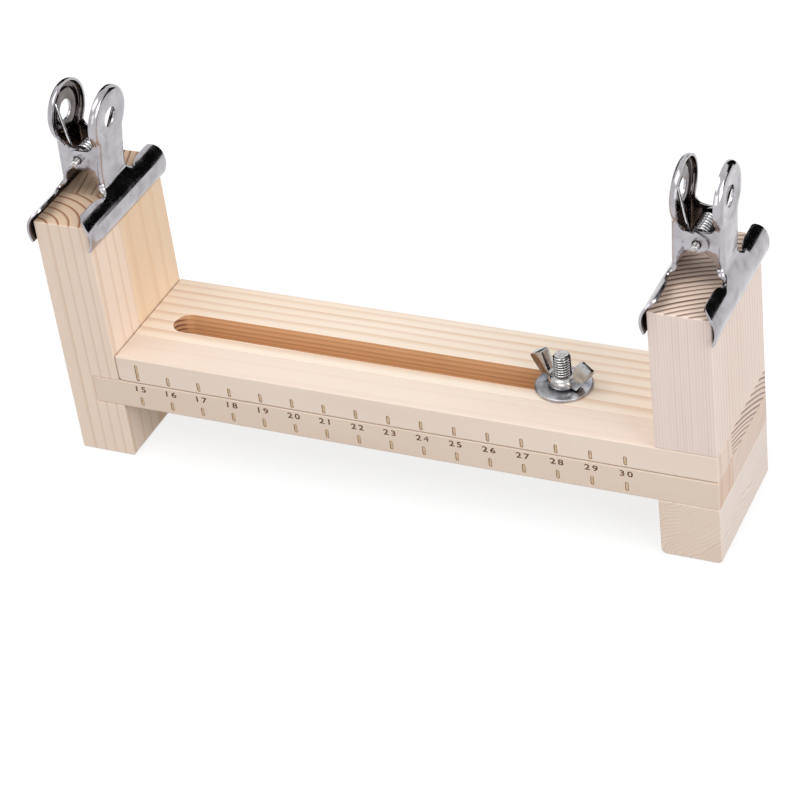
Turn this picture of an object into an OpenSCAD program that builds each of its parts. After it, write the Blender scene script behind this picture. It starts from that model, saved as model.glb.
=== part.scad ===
// Bracelet jig: two stacked pine boards with a post at each end. The upper board slides
// along the lower one and is locked by a wing nut. A spring clip grips the top of each post.
// Origin: middle of the footprint, on the table. +X to the right along the boards,
// +Y to the back, +Z up. Everything is in millimetres.

/* [Posts and boards] */
// Depth of the boards and posts, front to back
jig_w = 42; // [38:1:60]
// Thickness of the posts and of the foot
post_t = 17.5; // [15:0.5:22]
// Clear length between the two posts with the jig closed
inner_len = 165.5; // [150:0.5:230]
// Height of the posts above the table
post_h = 80; // [70:1:110]
// Height of the foot under the right end
foot_h = 18.5; // [14:0.5:26]
// Rounding of the foot's lower edges
foot_r = 1.5; // [0.5:0.25:3]
// Thickness of the lower board
lower_t = 9; // [8:0.5:12]
// Thickness of the upper board
upper_t = 8.5; // [7:0.5:12]
// Depth of the plain strip glued to the front of each board
strip_w = 12; // [8:0.5:14]
// Depth of the housing in the left post that holds the lower board
housing_d = 9; // [5:0.5:12]
// Height of the gap between the two boards
slide_gap = 0.2; // [0.1:0.05:0.5]
// Gap between the closed upper board and the left post
closed_gap = 0.3; // [0.2:0.05:1]
// Rounding of the upper strip's lower left corner
strip_r = 1.5; // [0.5:0.25:3]

/* [Ruler] */
// From the left post to the first mark
rule_first = 6.8; // [5:0.1:12]
// Distance between two marks
rule_pitch = 10; // [8:0.5:12]
// Least distance from the last mark to the right post
rule_end = 3; // [2:0.5:10]
// Length of a mark
mark_l = 2.8; // [2:0.1:3.4]
// Width of a mark
mark_w = 1.2; // [0.8:0.1:2]
// Depth of a mark
mark_d = 0.3; // [0.2:0.05:0.6]
// Length of the reading mark on the upper strip
index_l = 5.8; // [4:0.1:6]
// From the seam down to the middle of the lower marks
low_mark_z = 6.4; // [5:0.1:7]
// From the seam up to the lower end of the upper marks
up_mark_z = 0.8; // [0.5:0.1:1.5]

/* [Slot and clamp] */
// Width of the slot in the upper board
slot_w = 9; // [7.5:0.5:11]
// From the left post to the slot's left end
slot_first = 9.4; // [6:0.1:20]
// From the left post to the clamp bolt
bolt_from_post = 132.3; // [100:0.1:140]
// How far the bolt stands in front of the slot's middle line
bolt_front = 1; // [0:0.1:1.2]
// Outer diameter of the bolt's thread
bolt_d = 5; // [4:0.5:5.5]
// Depth of the thread
thread_d = 0.45; // [0.3:0.05:0.6]
// Pitch of the thread
thread_p = 0.8; // [0.7:0.1:1]
// Height of the bolt's end above the upper board
bolt_up = 10.8; // [9:0.2:14]
// Width across the flats of the bolt's head
head_af = 8; // [7:0.5:9]
// Height of the bolt's head
head_h = 3.5; // [2.5:0.5:4]
// Depth of the bolt's head below the board's underside
head_sink = 0.3; // [0.1:0.1:1]
// Diameter of the washer
washer_d = 16.3; // [14:0.1:20]
// Thickness of the washer
washer_t = 1; // [0.8:0.1:1.6]
// Diameter of the wing nut's hub at its widest
hub_d = 9.2; // [8:0.1:10]
// Height of the wing nut's hub
hub_h = 4.6; // [4:0.1:6]
// Span of the wing nut across its wings
wing_span = 20; // [17:0.5:24]
// Height of the wing nut to the tips of its wings
wing_h = 8.8; // [8:0.1:9.2]
// Thickness of a wing
wing_t = 3; // [2:0.1:4]
// Turn of the wings away from the boards' length, in degrees
wing_turn = -13.5; // [-45:0.5:45]
// Running clearance round the bolt
bolt_gap = 0.06; // [0.05:0.01:0.1]
// Seat clearance under the washer and the nut
seat_gap = 0.05; // [0.05:0.05:0.2]

/* [Screws] */
// Diameter of the wood screws
screw_d = 3.5; // [3:0.5:4]
// Diameter of a screw's head
screw_head_d = 7; // [6:0.5:8]
// Height of a screw's conical head
screw_head_h = 2.2; // [1.8:0.2:3]
// Length of the screws in the right post
post_screw_l = 25; // [20:1:30]
// Length of the screws in the foot
foot_screw_l = 22; // [20:0.5:22]
// From the edges of the pine part of a board to its screws
screw_edge = 6; // [5:0.5:10]
// Depth of a screw's head below the surface
screw_sink = 0.6; // [0.4:0.1:1]
// Clearance round a screw
screw_fit = 0.05; // [0.02:0.01:0.1]

/* [Clips] */
// Width of a clip's jaws
clip_w = 45; // [38:1:56]
// Thickness of the sheet steel
sheet_t = 0.7; // [0.6:0.05:0.9]
// Half of the clear width between the upright walls
wall_u = 6.4; // [6:0.1:7]
// Clearance between a lip and the post
lip_gap = 0.1; // [0.05:0.05:0.2]
// How far the lips reach below the post's top
lip_drop = 6.4; // [5.5:0.1:9]
// Radius of the jaw's bulge
bulge_r = 6.8; // [6.5:0.1:8]
// Angle of the bulge below its widest line, in degrees
bulge_low = 31; // [26:0.5:38]
// Angle of the flare where it leaves the bulge, in degrees
flare_a = 32; // [28:0.5:36]
// Radius of the bend between flare and wall
bend_r = 3.2; // [2.5:0.1:5]
// Height of the wings' top edge above the post
wing_top = 3.5; // [2.5:0.1:4.5]
// Rounding of the wings' corners
wing_r = 3; // [1.5:0.5:4]
// How far the wings' top edge dips beside the neck
wing_dip = 1.6; // [0.5:0.1:2]
// Length of the dip's slope
dip_l = 4.5; // [3:0.5:6]
// Half of the neck's width on a clip's wider jaw
neck_half = 7.2; // [7:0.1:8]
// Side clearance between the ears of the two jaws
ear_gap = 0.1; // [0.05:0.05:0.15]
// Fillet between the neck and the wings
neck_fillet = 3; // [2:0.5:4]
// Radius of the finger loop
loop_r = 9.2; // [8.5:0.1:10.5]
// Height of the loop's centre above the post
loop_z = 24.8; // [24:0.1:28]
// Diameter of the hole in the loop
loop_hole_d = 6; // [5:0.5:8]
// Depth of the rim that is turned inward round the loop
rim_d = 1.5; // [1.2:0.1:2]
// Diameter of the pivot pin
pin_d = 2; // [1.6:0.1:2.4]
// Running clearance round the pin
pin_gap = 0.12; // [0.05:0.01:0.2]
// How far the pin stands out of the ears
pin_out = 2.7; // [0.3:0.1:3.5]
// Height of the pin above the post
pin_z = 13.2; // [12.5:0.1:14]
// Radius of an ear's rounded end
ear_r = 3.1; // [2.8:0.1:3.4]
// Height at which an ear's top edge meets the wall
ear_top = 18.2; // [17:0.1:19]
// Width of an ear's leg beside the arch
leg_w = 1.1; // [0.8:0.1:1.6]
// Height above the post at which the ears' legs end
foot_z = 2.2; // [1.8:0.1:3]
// Width of a leg at its end
foot_w = 0.3; // [0.2:0.1:0.6]
// Lean of the clips to the right, as they sit on their posts, in degrees
clip_lean = 2.5; // [0:0.5:3]

/* [Spring] */
// Diameter of the spring wire
wire_d = 0.9; // [0.7:0.05:0.95]
// Mean radius of the spring's curls
coil_r = 2.7; // [2.4:0.05:2.8]
// Distance between two curls
coil_pitch = 1.38; // [1.36:0.01:1.4]
// Length of each arm of the spring
arm_l = 14.8; // [12:0.2:15]
// Lean of each arm away from upright, in degrees
arm_lean = 12.5; // [10:0.5:12.5]

/* [Hidden] */
$fn = 64;
eps = 0.01;

pine = [0.95, 0.85, 0.70];
pale = [0.93, 0.87, 0.78];
steel = [0.78, 0.79, 0.80];
nickel = [0.70, 0.71, 0.73];
zinc = [0.66, 0.66, 0.64];

// Places along X, seen from the front
post_in_l = -inner_len / 2;
post_in_r = inner_len / 2;
left_end = post_in_l - post_t;
right_end = post_in_r + post_t;
front = -jig_w / 2;
strip_back = front + strip_w;

// Places along Z
seam_z = foot_h + lower_t;
board_z = seam_z + slide_gap;
top_z = board_z + upper_t;

// Boards
lower_x = post_in_l - housing_d;
upper_x = post_in_l + closed_gap;

// Ruler
mark_count = floor((inner_len - rule_first - rule_end) / rule_pitch) + 1;

// Clamp
bolt_x = post_in_l + bolt_from_post;
bolt_r = bolt_d / 2;
bolt_top = top_z + bolt_up;
head_z = foot_h + head_sink;
nut_z = washer_t + 2 * seat_gap;
bore_r = bolt_r + bolt_gap;
slot_end = bolt_x + slot_w / 2;
// One turn of the thread: how far along the pitch, and 0 at the root or 1 at the crest
THREAD = [[0.3, 0], [0.5, 0], [0.8, 1], [1, 1]];
// The hub bulges between its narrower ends, and each wing starts inside it
hub_end_r = hub_d / 2 - 0.9;
hub_shoulder_r = hub_d / 2 - 0.2;
hub_shoulders = [0.6, 1.5, 2.5];
wing_root = bolt_r + 0.5;
wing_low = 0.6;
wing_rise = 0.9;
wing_end_h = 1.7;
wing_flat = 3.8;
wing_bevel = [0.5, 0.4];
wing_slope = 1.2;

// Screws
screw_tip_r = 0.3;
screw_ys = [strip_back + screw_edge, front + jig_w - screw_edge];
foot_screw_x = right_end - post_t / 2;
foot_screw_z = screw_sink + foot_r;
post_screw_z = board_z + screw_sink;

// Clips
lip_u = post_t / 2 + lip_gap;
bulge_u = lip_u - bulge_r * cos(bulge_low);
bulge_z = -lip_drop + bulge_r * sin(bulge_low);
flare_u = bulge_u + bulge_r * cos(flare_a);
flare_l = (flare_u - wall_u - bend_r * (1 - cos(flare_a))) / sin(flare_a);
loop_top = loop_z + loop_r;
arch_half = wall_u - leg_w;
arch_z = pin_z - ear_r - arch_half;
flare_z = bulge_z + bulge_r * sin(flare_a);
bend_z = flare_z + flare_l * cos(flare_a) + bend_r * sin(flare_a);
foot_u = flare_u - (foot_z - flare_z) * tan(flare_a) - foot_w;
inner_neck = neck_half - sheet_t - ear_gap;
pin_l = 2 * (neck_half + pin_out);
rim_step = 0.03;
rim_lap = 0.2;
// Length past a face that a cut or a crossing runs, so that it ends clear of it
past = 1;
// Reach of the flat sketches that are cut to a jaw's or an ear's shape
reach = 20;
// The blade of a jaw's outline reaches this far below its lip
blade_spare = 2;
// Where an ear's top edge runs, as shares of the wall's place, and its rise there
ear_bend = [0.7, 0.35];
ear_rise = [0.5, 0.1];
// Steps along a dip's slope
DIP_STEPS = 6;

// Spring
RINGS = 8;
SIDES = 6;
COILS = 7;
coil_turn = 180 - 2 * arm_lean + 360 * COILS;
coil_l = coil_pitch * coil_turn / 360;
coil_rings = ceil(coil_turn / 360 * RINGS);
ARM_RINGS = 3;

// Rectangle with its lower corners rounded, standing on the X axis of the sketch
module soft_foot(w, h, r) {
    translate([r, 0]) square([w - 2 * r, h]);
    translate([0, r]) square([w, h - r]);
    translate([r, r]) circle(r = r);
    translate([w - r, r]) circle(r = r);
}

// Rectangle with its lower left corner rounded
module soft_corner(w, h, r) {
    translate([r, 0]) square([w - r, h]);
    translate([0, r]) square([w, h - r]);
    translate([r, r]) circle(r = r);
}

// Straight slot with round ends, from x0 to x1
module slot_shape(x0, x1, w) {
    translate([x0 + w / 2, -w / 2]) square([x1 - x0 - w, w]);
    translate([x0 + w / 2, 0]) circle(r = w / 2);
    translate([x1 - w / 2, 0]) circle(r = w / 2);
}

// Engraved mark on the front face: x is its middle, z its lower end
module mark_cut(x, z, l) {
    translate([x, front + mark_d, z])
        rotate([90, 0, 0])
            linear_extrude(mark_d + 1)
                rotate(90) slot_shape(0, l, mark_w);
}

function mark_x(i) = post_in_l + rule_first + i * rule_pitch;

// Countersunk screw with its head down, tip up
module screw(l, fit) {
    r = screw_d / 2 + fit;
    head = screw_head_d / 2 + fit;
    cylinder(r1 = head, r2 = r, h = screw_head_h);
    cylinder(r = r, h = l - screw_d + fit);
    translate([0, 0, l - screw_d + fit]) cylinder(r1 = r, r2 = screw_tip_r, h = screw_d);
}

module screw_pair(x, z, l, fit) {
    for (y = screw_ys) translate([x, y, z]) screw(l, fit);
}

// Straight way from below the surface up to a screw's head
module screw_mouths(x, z) {
    for (y = screw_ys)
        translate([x, y, z - screw_sink - 1])
            cylinder(r = screw_head_d / 2 + screw_fit, h = screw_sink + 1 + eps);
}

module left_post() {
    color(pine) difference() {
        translate([left_end, front, 0]) cube([post_t, jig_w, post_h]);
        translate([lower_x, front - 1, foot_h]) cube([housing_d + 1, jig_w + 2, lower_t]);
    }
}

module lower_board() {
    color(pine) difference() {
        translate([lower_x, strip_back, foot_h])
            cube([right_end - lower_x, jig_w - strip_w, lower_t]);
        translate([bolt_x, -bolt_front, foot_h - 1])
            cylinder(d = head_af / cos(30) + 2 * seat_gap, h = head_h + head_sink + 1 + seat_gap, $fn = 6);
        translate([bolt_x, -bolt_front, foot_h]) cylinder(r = bolt_r + bolt_gap, h = lower_t + 1);
        screw_pair(foot_screw_x, foot_screw_z, foot_screw_l, screw_fit);
    }
}

module lower_rule_strip() {
    color(pale) difference() {
        translate([lower_x, front, foot_h]) cube([right_end - lower_x, strip_w, lower_t]);
        for (i = [0 : mark_count - 1]) mark_cut(mark_x(i), seam_z - low_mark_z - mark_l / 2, mark_l);
    }
}

module right_foot() {
    color(pine) difference() {
        translate([right_end - post_t, front + jig_w, 0])
            rotate([90, 0, 0]) linear_extrude(jig_w) soft_foot(post_t, foot_h, foot_r);
        screw_pair(foot_screw_x, foot_screw_z, foot_screw_l, screw_fit);
        screw_mouths(foot_screw_x, foot_screw_z);
    }
}

module foot_screws() {
    color(steel) screw_pair(foot_screw_x, foot_screw_z, foot_screw_l, 0);
}

module clamp_bolt() {
    tip = bolt_top - thread_p;
    turns = floor((tip - top_z) / thread_p);
    start = tip - turns * thread_p;
    root_r = bolt_r - thread_d;
    color(zinc) translate([bolt_x, -bolt_front, 0]) {
        translate([0, 0, head_z]) cylinder(d = head_af / cos(30), h = head_h, $fn = 6);
        rotate_extrude() polygon(concat(
            [[0, head_z + head_h - eps], [bolt_r, head_z + head_h - eps], [bolt_r, start]],
            [for (i = [0 : turns - 1], p = THREAD)
                [root_r + thread_d * p[1], start + (i + p[0]) * thread_p]],
            [[root_r, bolt_top], [0, bolt_top]]
        ));
    }
}

module clamp_washer() {
    color(steel) translate([bolt_x, -bolt_front, top_z + seat_gap]) difference() {
        cylinder(d = washer_d, h = washer_t);
        translate([0, 0, -1]) cylinder(r = bore_r + bolt_gap, h = washer_t + 2);
    }
}

// One wing in the plane of its own length and height, from the hub outward
module wing_shape() {
    end = wing_span / 2;
    polygon([
        [wing_root, wing_low], [hub_d / 2, wing_rise], [end, wing_h - wing_end_h],
        [end - wing_bevel[0], wing_h - wing_bevel[1]], [end - wing_slope, wing_h],
        [end - wing_flat, wing_h], [wing_root, hub_h - wing_low]
    ]);
}

module wing_nut() {
    color(zinc) translate([bolt_x, -bolt_front, top_z + nut_z]) rotate(wing_turn) difference() {
        union() {
            rotate_extrude() polygon([
                [0, 0], [hub_end_r, 0], [hub_shoulder_r, hub_shoulders[0]],
                [hub_d / 2, hub_shoulders[1]], [hub_shoulder_r, hub_shoulders[2]],
                [hub_end_r, hub_h], [0, hub_h]
            ]);
            for (side = [0, 180])
                rotate(side) rotate([90, 0, 0])
                    translate([0, 0, -wing_t / 2]) linear_extrude(wing_t) wing_shape();
        }
        translate([0, 0, -1]) cylinder(r = bore_r, h = wing_h + 2);
    }
}

module upper_board() {
    color(pine) difference() {
        translate([upper_x, strip_back, board_z]) cube([right_end - upper_x, jig_w - strip_w, upper_t]);
        translate([0, 0, board_z - 1])
            linear_extrude(upper_t + 2) slot_shape(post_in_l + slot_first, slot_end, slot_w);
        screw_pair(foot_screw_x, post_screw_z, post_screw_l, screw_fit);
        screw_mouths(foot_screw_x, post_screw_z);
    }
}

module upper_rule_strip() {
    color(pale) difference() {
        translate([upper_x, strip_back, board_z]) rotate([90, 0, 0])
            linear_extrude(strip_w) soft_corner(right_end - upper_x, upper_t, strip_r);
        mark_cut(mark_x(0), board_z + up_mark_z, index_l);
        for (i = [1 : mark_count - 1]) mark_cut(mark_x(i), board_z + up_mark_z, mark_l);
    }
}

module right_post() {
    color(pine) difference() {
        translate([post_in_r, front, top_z]) cube([post_t, jig_w, post_h - top_z]);
        screw_pair(foot_screw_x, post_screw_z, post_screw_l, screw_fit);
    }
}

module right_post_screws() {
    color(steel) screw_pair(foot_screw_x, post_screw_z, post_screw_l, 0);
}

// Places u along X from the post's middle and z up from the post's top
function arc(cu, cz, r, a0, a1, n) =
    [for (i = [0 : n]) let (a = a0 + (a1 - a0) * i / n) [cu + r * cos(a), cz + r * sin(a)]];

// The jaw's section from its lip up to its top, off outside the inner face
function jaw_line(off) = concat(
    arc(bulge_u, bulge_z, bulge_r + off, -bulge_low, flare_a, 10),
    arc(wall_u + bend_r, bend_z, bend_r - off, 180 + flare_a, 180, 5),
    [[wall_u + off, loop_top + past]]
);

function reversed(list) = [for (i = [len(list) - 1 : -1 : 0]) list[i]];

// What the dip takes off a wing's top edge, from the neck outward
module wing_dip_cut(neck) {
    foot_y = neck + neck_fillet;
    low = wing_top - wing_dip;
    polygon(concat(
        [[0, wing_top + past], [0, low]],
        [for (i = [0 : DIP_STEPS]) let (part = i / DIP_STEPS)
            [foot_y + dip_l * part, low + (wing_dip + eps) * (1 - cos(180 * part)) / 2]],
        [[foot_y + dip_l, wing_top + past]]
    ));
}

// The flat outline of a jaw, seen along X: neck is half of the neck's width
module jaw_outline(neck) {
    blade_z = -lip_drop - blade_spare;
    low = wing_top - wing_dip;
    difference() {
        union() {
            difference() {
                union() {
                    translate([-clip_w / 2, blade_z]) square([clip_w, wing_top - wing_r - blade_z]);
                    translate([-clip_w / 2 + wing_r, blade_z])
                        square([clip_w - 2 * wing_r, wing_top - blade_z]);
                    for (side = [-1, 1])
                        translate([side * (clip_w / 2 - wing_r), wing_top - wing_r]) circle(r = wing_r);
                }
                for (side = [0, 1]) mirror([side, 0]) wing_dip_cut(neck);
            }
            translate([-neck, 0]) square([2 * neck, loop_z]);
            for (side = [0, 1]) mirror([side, 0]) difference() {
                translate([neck - past, low - past]) square([neck_fillet + past, neck_fillet + past]);
                translate([neck + neck_fillet, low + neck_fillet]) circle(r = neck_fillet);
            }
            translate([0, loop_z]) circle(r = loop_r);
        }
        translate([0, loop_z]) circle(d = loop_hole_d);
    }
}

// The opening under the pin, one half of it: a round top on legs that spread along the flare
module arch_outline() {
    translate([0, arch_z]) circle(r = arch_half);
    polygon([[0, arch_z], [arch_half, arch_z], [foot_u, foot_z], [foot_u, -lip_drop], [0, -lip_drop]]);
}

// The plate of an ear, seen along Y
module ear_outline() {
    difference() {
        union() {
            translate([0, pin_z]) circle(r = ear_r);
            difference() {
                intersection() {
                    polygon(concat(jaw_line(sheet_t / 2), [[0, loop_top + past], [0, -lip_drop]]));
                    polygon([
                        [0, foot_z], [reach, foot_z], [reach, ear_top], [wall_u + past, ear_top],
                        for (i = [0, 1]) [wall_u * ear_bend[i], pin_z + ear_r + ear_rise[i]],
                        [0, pin_z + ear_r]
                    ]);
                }
                arch_outline();
            }
        }
        translate([0, pin_z]) circle(r = pin_d / 2 + pin_gap);
    }
}

// A jaw that stands on the +X side of its post: neck is half of the neck's width.
// The rim is a hair smaller than the loop, so that their edges don't run into each other.
module jaw(neck) {
    rim_r = loop_r - rim_step;
    rim_z = loop_z - sqrt(pow(rim_r, 2) - pow(neck, 2));
    intersection() {
        translate([0, clip_w / 2 + past, 0]) rotate([90, 0, 0]) linear_extrude(clip_w + 2 * past)
            polygon(concat(jaw_line(0), reversed(jaw_line(sheet_t))));
        rotate([90, 0, 90]) linear_extrude(reach) jaw_outline(neck);
    }
    intersection() {
        translate([wall_u - rim_d, 0, loop_z]) rotate([0, 90, 0]) difference() {
            cylinder(r = rim_r, h = rim_d + sheet_t / 2);
            translate([0, 0, -past]) cylinder(r = rim_r - sheet_t, h = rim_d + sheet_t + 2 * past);
        }
        translate([0, -loop_r - past, rim_z - rim_lap])
            cube([reach, 2 * (loop_r + past), 2 * loop_r + past]);
    }
    for (side = [-1, 1]) mirror([0, side > 0 ? 0 : 1, 0]) {
        translate([0, neck, 0]) rotate([90, 0, 0]) linear_extrude(sheet_t) ear_outline();
        translate([wall_u - rim_d, neck - sheet_t, ear_top - past])
            cube([rim_d + sheet_t / 2, sheet_t, rim_z - ear_top + past + rim_lap]);
    }
}

// Puts a clip on its post: it leans about the middle of its lips
module on_post(x) {
    translate([x, 0, post_h - lip_drop]) rotate([0, clip_lean, 0]) translate([0, 0, lip_drop]) children();
}

module clip_left_jaw(x, neck) {
    color(nickel) on_post(x) mirror([1, 0, 0]) jaw(neck);
}

module clip_right_jaw(x, neck) {
    color(nickel) on_post(x) jaw(neck);
}

module clip_pin(x) {
    color(steel) on_post(x)
        translate([0, pin_l / 2, pin_z]) rotate([90, 0, 0]) cylinder(d = pin_d, h = pin_l);
}

// The spring's centre line, from the tip of the front arm through the coil to the tip of the
// back arm. The arms leave the coil along its tangent.
arm_dir = [-sin(arm_lean), 0, cos(arm_lean)];
coil_start = [-coil_r * cos(arm_lean), -coil_l / 2, pin_z - coil_r * sin(arm_lean)];
coil_end = [coil_r * cos(arm_lean), coil_l / 2, pin_z - coil_r * sin(arm_lean)];
spring_line = concat(
    [for (i = [ARM_RINGS : -1 : 1]) coil_start + arm_dir * arm_l * i / ARM_RINGS],
    [for (i = [0 : coil_rings])
        let (part = i / coil_rings, a = 180 + arm_lean + coil_turn * part)
        [coil_r * cos(a), coil_l * (part - 0.5), pin_z + coil_r * sin(a)]],
    [for (i = [1 : ARM_RINGS]) coil_end + [-arm_dir[0], 0, arm_dir[2]] * arm_l * i / ARM_RINGS]
);

function unit(v) = v / norm(v);

function tangent(line, i) = unit(line[min(i + 1, len(line) - 1)] - line[max(i - 1, 0)]);

// The tube's rings: no part of the line runs along Y, so Y sets the way each ring faces
function tube_points(line, r) = [
    for (i = [0 : len(line) - 1])
        let (t = tangent(line, i), n = unit(cross(t, [0, 1, 0])), b = cross(t, n))
        for (j = [0 : SIDES - 1]) line[i] + r * (cos(j * 360 / SIDES) * n + sin(j * 360 / SIDES) * b)
];

function tube_faces(count) = concat(
    [for (j = [1 : SIDES - 2]) [0, j, j + 1]],
    [for (i = [0 : count - 2], j = [0 : SIDES - 1], half = [0, 1])
        let (a = i * SIDES + j, b = i * SIDES + (j + 1) % SIDES)
        half == 0 ? [a, a + SIDES, b + SIDES] : [a, b + SIDES, b]],
    [for (j = [1 : SIDES - 2]) let (k = (count - 1) * SIDES) [k, k + j + 1, k + j]]
);

// Least gap of the wire to itself, between points at least half a curl apart
spring_gap = min([
    for (i = [0 : len(spring_line) - 1])
        for (j = [i + RINGS / 2 : 1 : len(spring_line) - 1])
            norm(spring_line[i] - spring_line[j])
]) - wire_d;
echo(spring_least_gap_mm = spring_gap);

module clip_spring(x) {
    color(steel) on_post(x)
        polyhedron(tube_points(spring_line, wire_d / 2), tube_faces(len(spring_line)), convexity = 10);
}

left_clip_x = post_in_l - post_t / 2;
right_clip_x = post_in_r + post_t / 2;

// One jaw's ears lie inside the other's: the left clip has its wider neck on the right jaw,
// and the right clip on the left jaw
module left_clip_left_jaw() clip_left_jaw(left_clip_x, inner_neck);
module left_clip_right_jaw() clip_right_jaw(left_clip_x, neck_half);
module left_clip_pin() clip_pin(left_clip_x);
module left_clip_spring() clip_spring(left_clip_x);
module right_clip_left_jaw() clip_left_jaw(right_clip_x, neck_half);
module right_clip_right_jaw() clip_right_jaw(right_clip_x, inner_neck);
module right_clip_pin() clip_pin(right_clip_x);
module right_clip_spring() clip_spring(right_clip_x);

left_post();
lower_board();
lower_rule_strip();
right_foot();
foot_screws();
clamp_bolt();
clamp_washer();
wing_nut();
upper_board();
upper_rule_strip();
right_post();
right_post_screws();
left_clip_left_jaw();
left_clip_right_jaw();
left_clip_pin();
left_clip_spring();
right_clip_left_jaw();
right_clip_right_jaw();
right_clip_pin();
right_clip_spring();
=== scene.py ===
# %% [markdown]
# # A pine bracelet jig with two spring clips
# The real object is a small bench jig for knotted bracelets. A ruler board slides on a lower
# board, a wing nut locks it, and a spring clip on each end post holds the cords.
# The construction comes packed from the CAD model, so this lesson starts by loading it. Every
# piece made here sits where the CAD piece sits, in metres.

# %% Load the frame
import math

import bmesh
import bpy
from mathutils import Matrix, Vector


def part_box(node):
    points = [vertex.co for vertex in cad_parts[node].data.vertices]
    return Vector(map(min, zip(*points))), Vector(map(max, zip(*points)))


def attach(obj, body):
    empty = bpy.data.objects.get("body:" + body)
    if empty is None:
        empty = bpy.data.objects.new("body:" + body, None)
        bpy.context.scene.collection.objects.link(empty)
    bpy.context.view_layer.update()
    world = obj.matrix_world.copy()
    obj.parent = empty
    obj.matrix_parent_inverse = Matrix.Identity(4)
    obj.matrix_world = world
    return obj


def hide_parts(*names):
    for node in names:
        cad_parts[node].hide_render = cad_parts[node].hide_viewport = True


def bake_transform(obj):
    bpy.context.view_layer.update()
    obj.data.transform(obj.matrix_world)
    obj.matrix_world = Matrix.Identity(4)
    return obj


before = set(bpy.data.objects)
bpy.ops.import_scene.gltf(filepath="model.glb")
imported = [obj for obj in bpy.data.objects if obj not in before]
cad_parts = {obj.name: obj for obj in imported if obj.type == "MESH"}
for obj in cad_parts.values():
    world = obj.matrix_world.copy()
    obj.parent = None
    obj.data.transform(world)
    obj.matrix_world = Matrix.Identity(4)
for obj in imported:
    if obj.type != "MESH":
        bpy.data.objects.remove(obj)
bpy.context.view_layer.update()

MM = 0.001

# %% [markdown]
# ## The camera
# The photograph was taken from the front right and above with a long lens, and the camera was
# tilted a little to one side. The place and the angles come from fitting the jig's corners.

# %% Camera
CAMERA_PLACE = Vector((0.2815, -0.5314, 0.4528))
CAMERA_AZIMUTH = math.radians(28.123)
CAMERA_ELEVATION = math.radians(35.638)
CAMERA_ROLL = math.radians(-7.748)
LENS = 116.0
SENSOR = 36.0


def add_camera():
    """A camera from its azimuth, elevation and roll: its own Z axis points away from the object."""
    back = Vector((
        math.sin(CAMERA_AZIMUTH) * math.cos(CAMERA_ELEVATION),
        -math.cos(CAMERA_AZIMUTH) * math.cos(CAMERA_ELEVATION),
        math.sin(CAMERA_ELEVATION),
    ))
    level = Vector((math.cos(CAMERA_AZIMUTH), math.sin(CAMERA_AZIMUTH), 0))
    right = level * math.cos(CAMERA_ROLL) + back.cross(level) * math.sin(CAMERA_ROLL)
    turn = Matrix((right, back.cross(right), back)).transposed().to_4x4()
    lens = bpy.data.cameras.new("camera")
    lens.lens = LENS
    lens.sensor_width = SENSOR
    lens.clip_start = 0.01
    camera = bpy.data.objects.new("camera", lens)
    camera.matrix_world = Matrix.Translation(CAMERA_PLACE) @ turn
    bpy.context.scene.collection.objects.link(camera)
    bpy.context.scene.camera = camera
    return camera


camera = add_camera()
bpy.context.scene.view_settings.view_transform = "Standard"
print("camera at", [round(v, 3) for v in camera.location])

# %% [markdown]
# ## Small helpers
# Colours are written as they look on a screen, 0 to 255, and a shader wants them linear.
# A node tree reads better when one call adds a node, sets it and links its inputs.

# %% Helpers for colours, nodes and objects


def colour(red, green, blue):
    """A screen colour as the linear colour that a shader takes."""
    shares = [value / 255 for value in (red, green, blue)]
    return tuple(s / 12.92 if s <= 0.04045 else ((s + 0.055) / 1.055) ** 2.4 for s in shares) + (1.0,)


def add(tree, kind, inputs=None, **settings):
    """Adds a node. An input that is a socket is linked, and any other value is set."""
    made = tree.nodes.new(kind)
    for name, value in settings.items():
        setattr(made, name, value)
    for name, value in (inputs or {}).items():
        if isinstance(value, bpy.types.NodeSocket):
            tree.links.new(value, made.inputs[name])
        else:
            made.inputs[name].default_value = value
    return made


def maths(tree, operation, *values):
    """The output of a Math node."""
    return add(tree, "ShaderNodeMath", dict(enumerate(values)), operation=operation).outputs[0]


def vectors(tree, operation, *values):
    """The vector output of a Vector Math node."""
    made = add(tree, "ShaderNodeVectorMath", dict(enumerate(values)), operation=operation)
    return made.outputs["Vector"]


def mix(tree, share, first, second, blend="MIX"):
    """The colour output of a Mix node."""
    made = add(tree, "ShaderNodeMix", data_type="RGBA", blend_type=blend)
    for place, value in ((0, share), (6, first), (7, second)):
        if isinstance(value, bpy.types.NodeSocket):
            tree.links.new(value, made.inputs[place])
        else:
            made.inputs[place].default_value = value
    return made.outputs[2]


def ramp(tree, value, low, high, to_low=0.0, to_high=1.0):
    """A value that runs smoothly from to_low to to_high as the input runs from low to high."""
    ranges = {"Value": value, "From Min": low, "From Max": high, "To Min": to_low, "To Max": to_high}
    return add(tree, "ShaderNodeMapRange", ranges, interpolation_type="SMOOTHSTEP").outputs["Result"]


def new_group(name, inputs, outputs):
    """An empty shader node group with the named sockets; a list value makes a vector socket."""
    tree = bpy.data.node_groups.new(name, "ShaderNodeTree")
    kinds = {float: "NodeSocketFloat", tuple: "NodeSocketColor", list: "NodeSocketVector"}
    for title, value in inputs.items():
        socket = tree.interface.new_socket(title, in_out="INPUT", socket_type=kinds[type(value)])
        socket.default_value = value
    for title, value in outputs.items():
        tree.interface.new_socket(title, in_out="OUTPUT", socket_type=kinds[type(value)])
    return tree, tree.nodes.new("NodeGroupInput").outputs, tree.nodes.new("NodeGroupOutput")


def place_group(tree, group, values):
    """Places a group in a material with its own values."""
    made = tree.nodes.new("ShaderNodeGroup")
    made.node_tree = group
    for name, value in values.items():
        if isinstance(value, bpy.types.NodeSocket):
            tree.links.new(value, made.inputs[name])
        else:
            made.inputs[name].default_value = value
    return made


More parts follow.
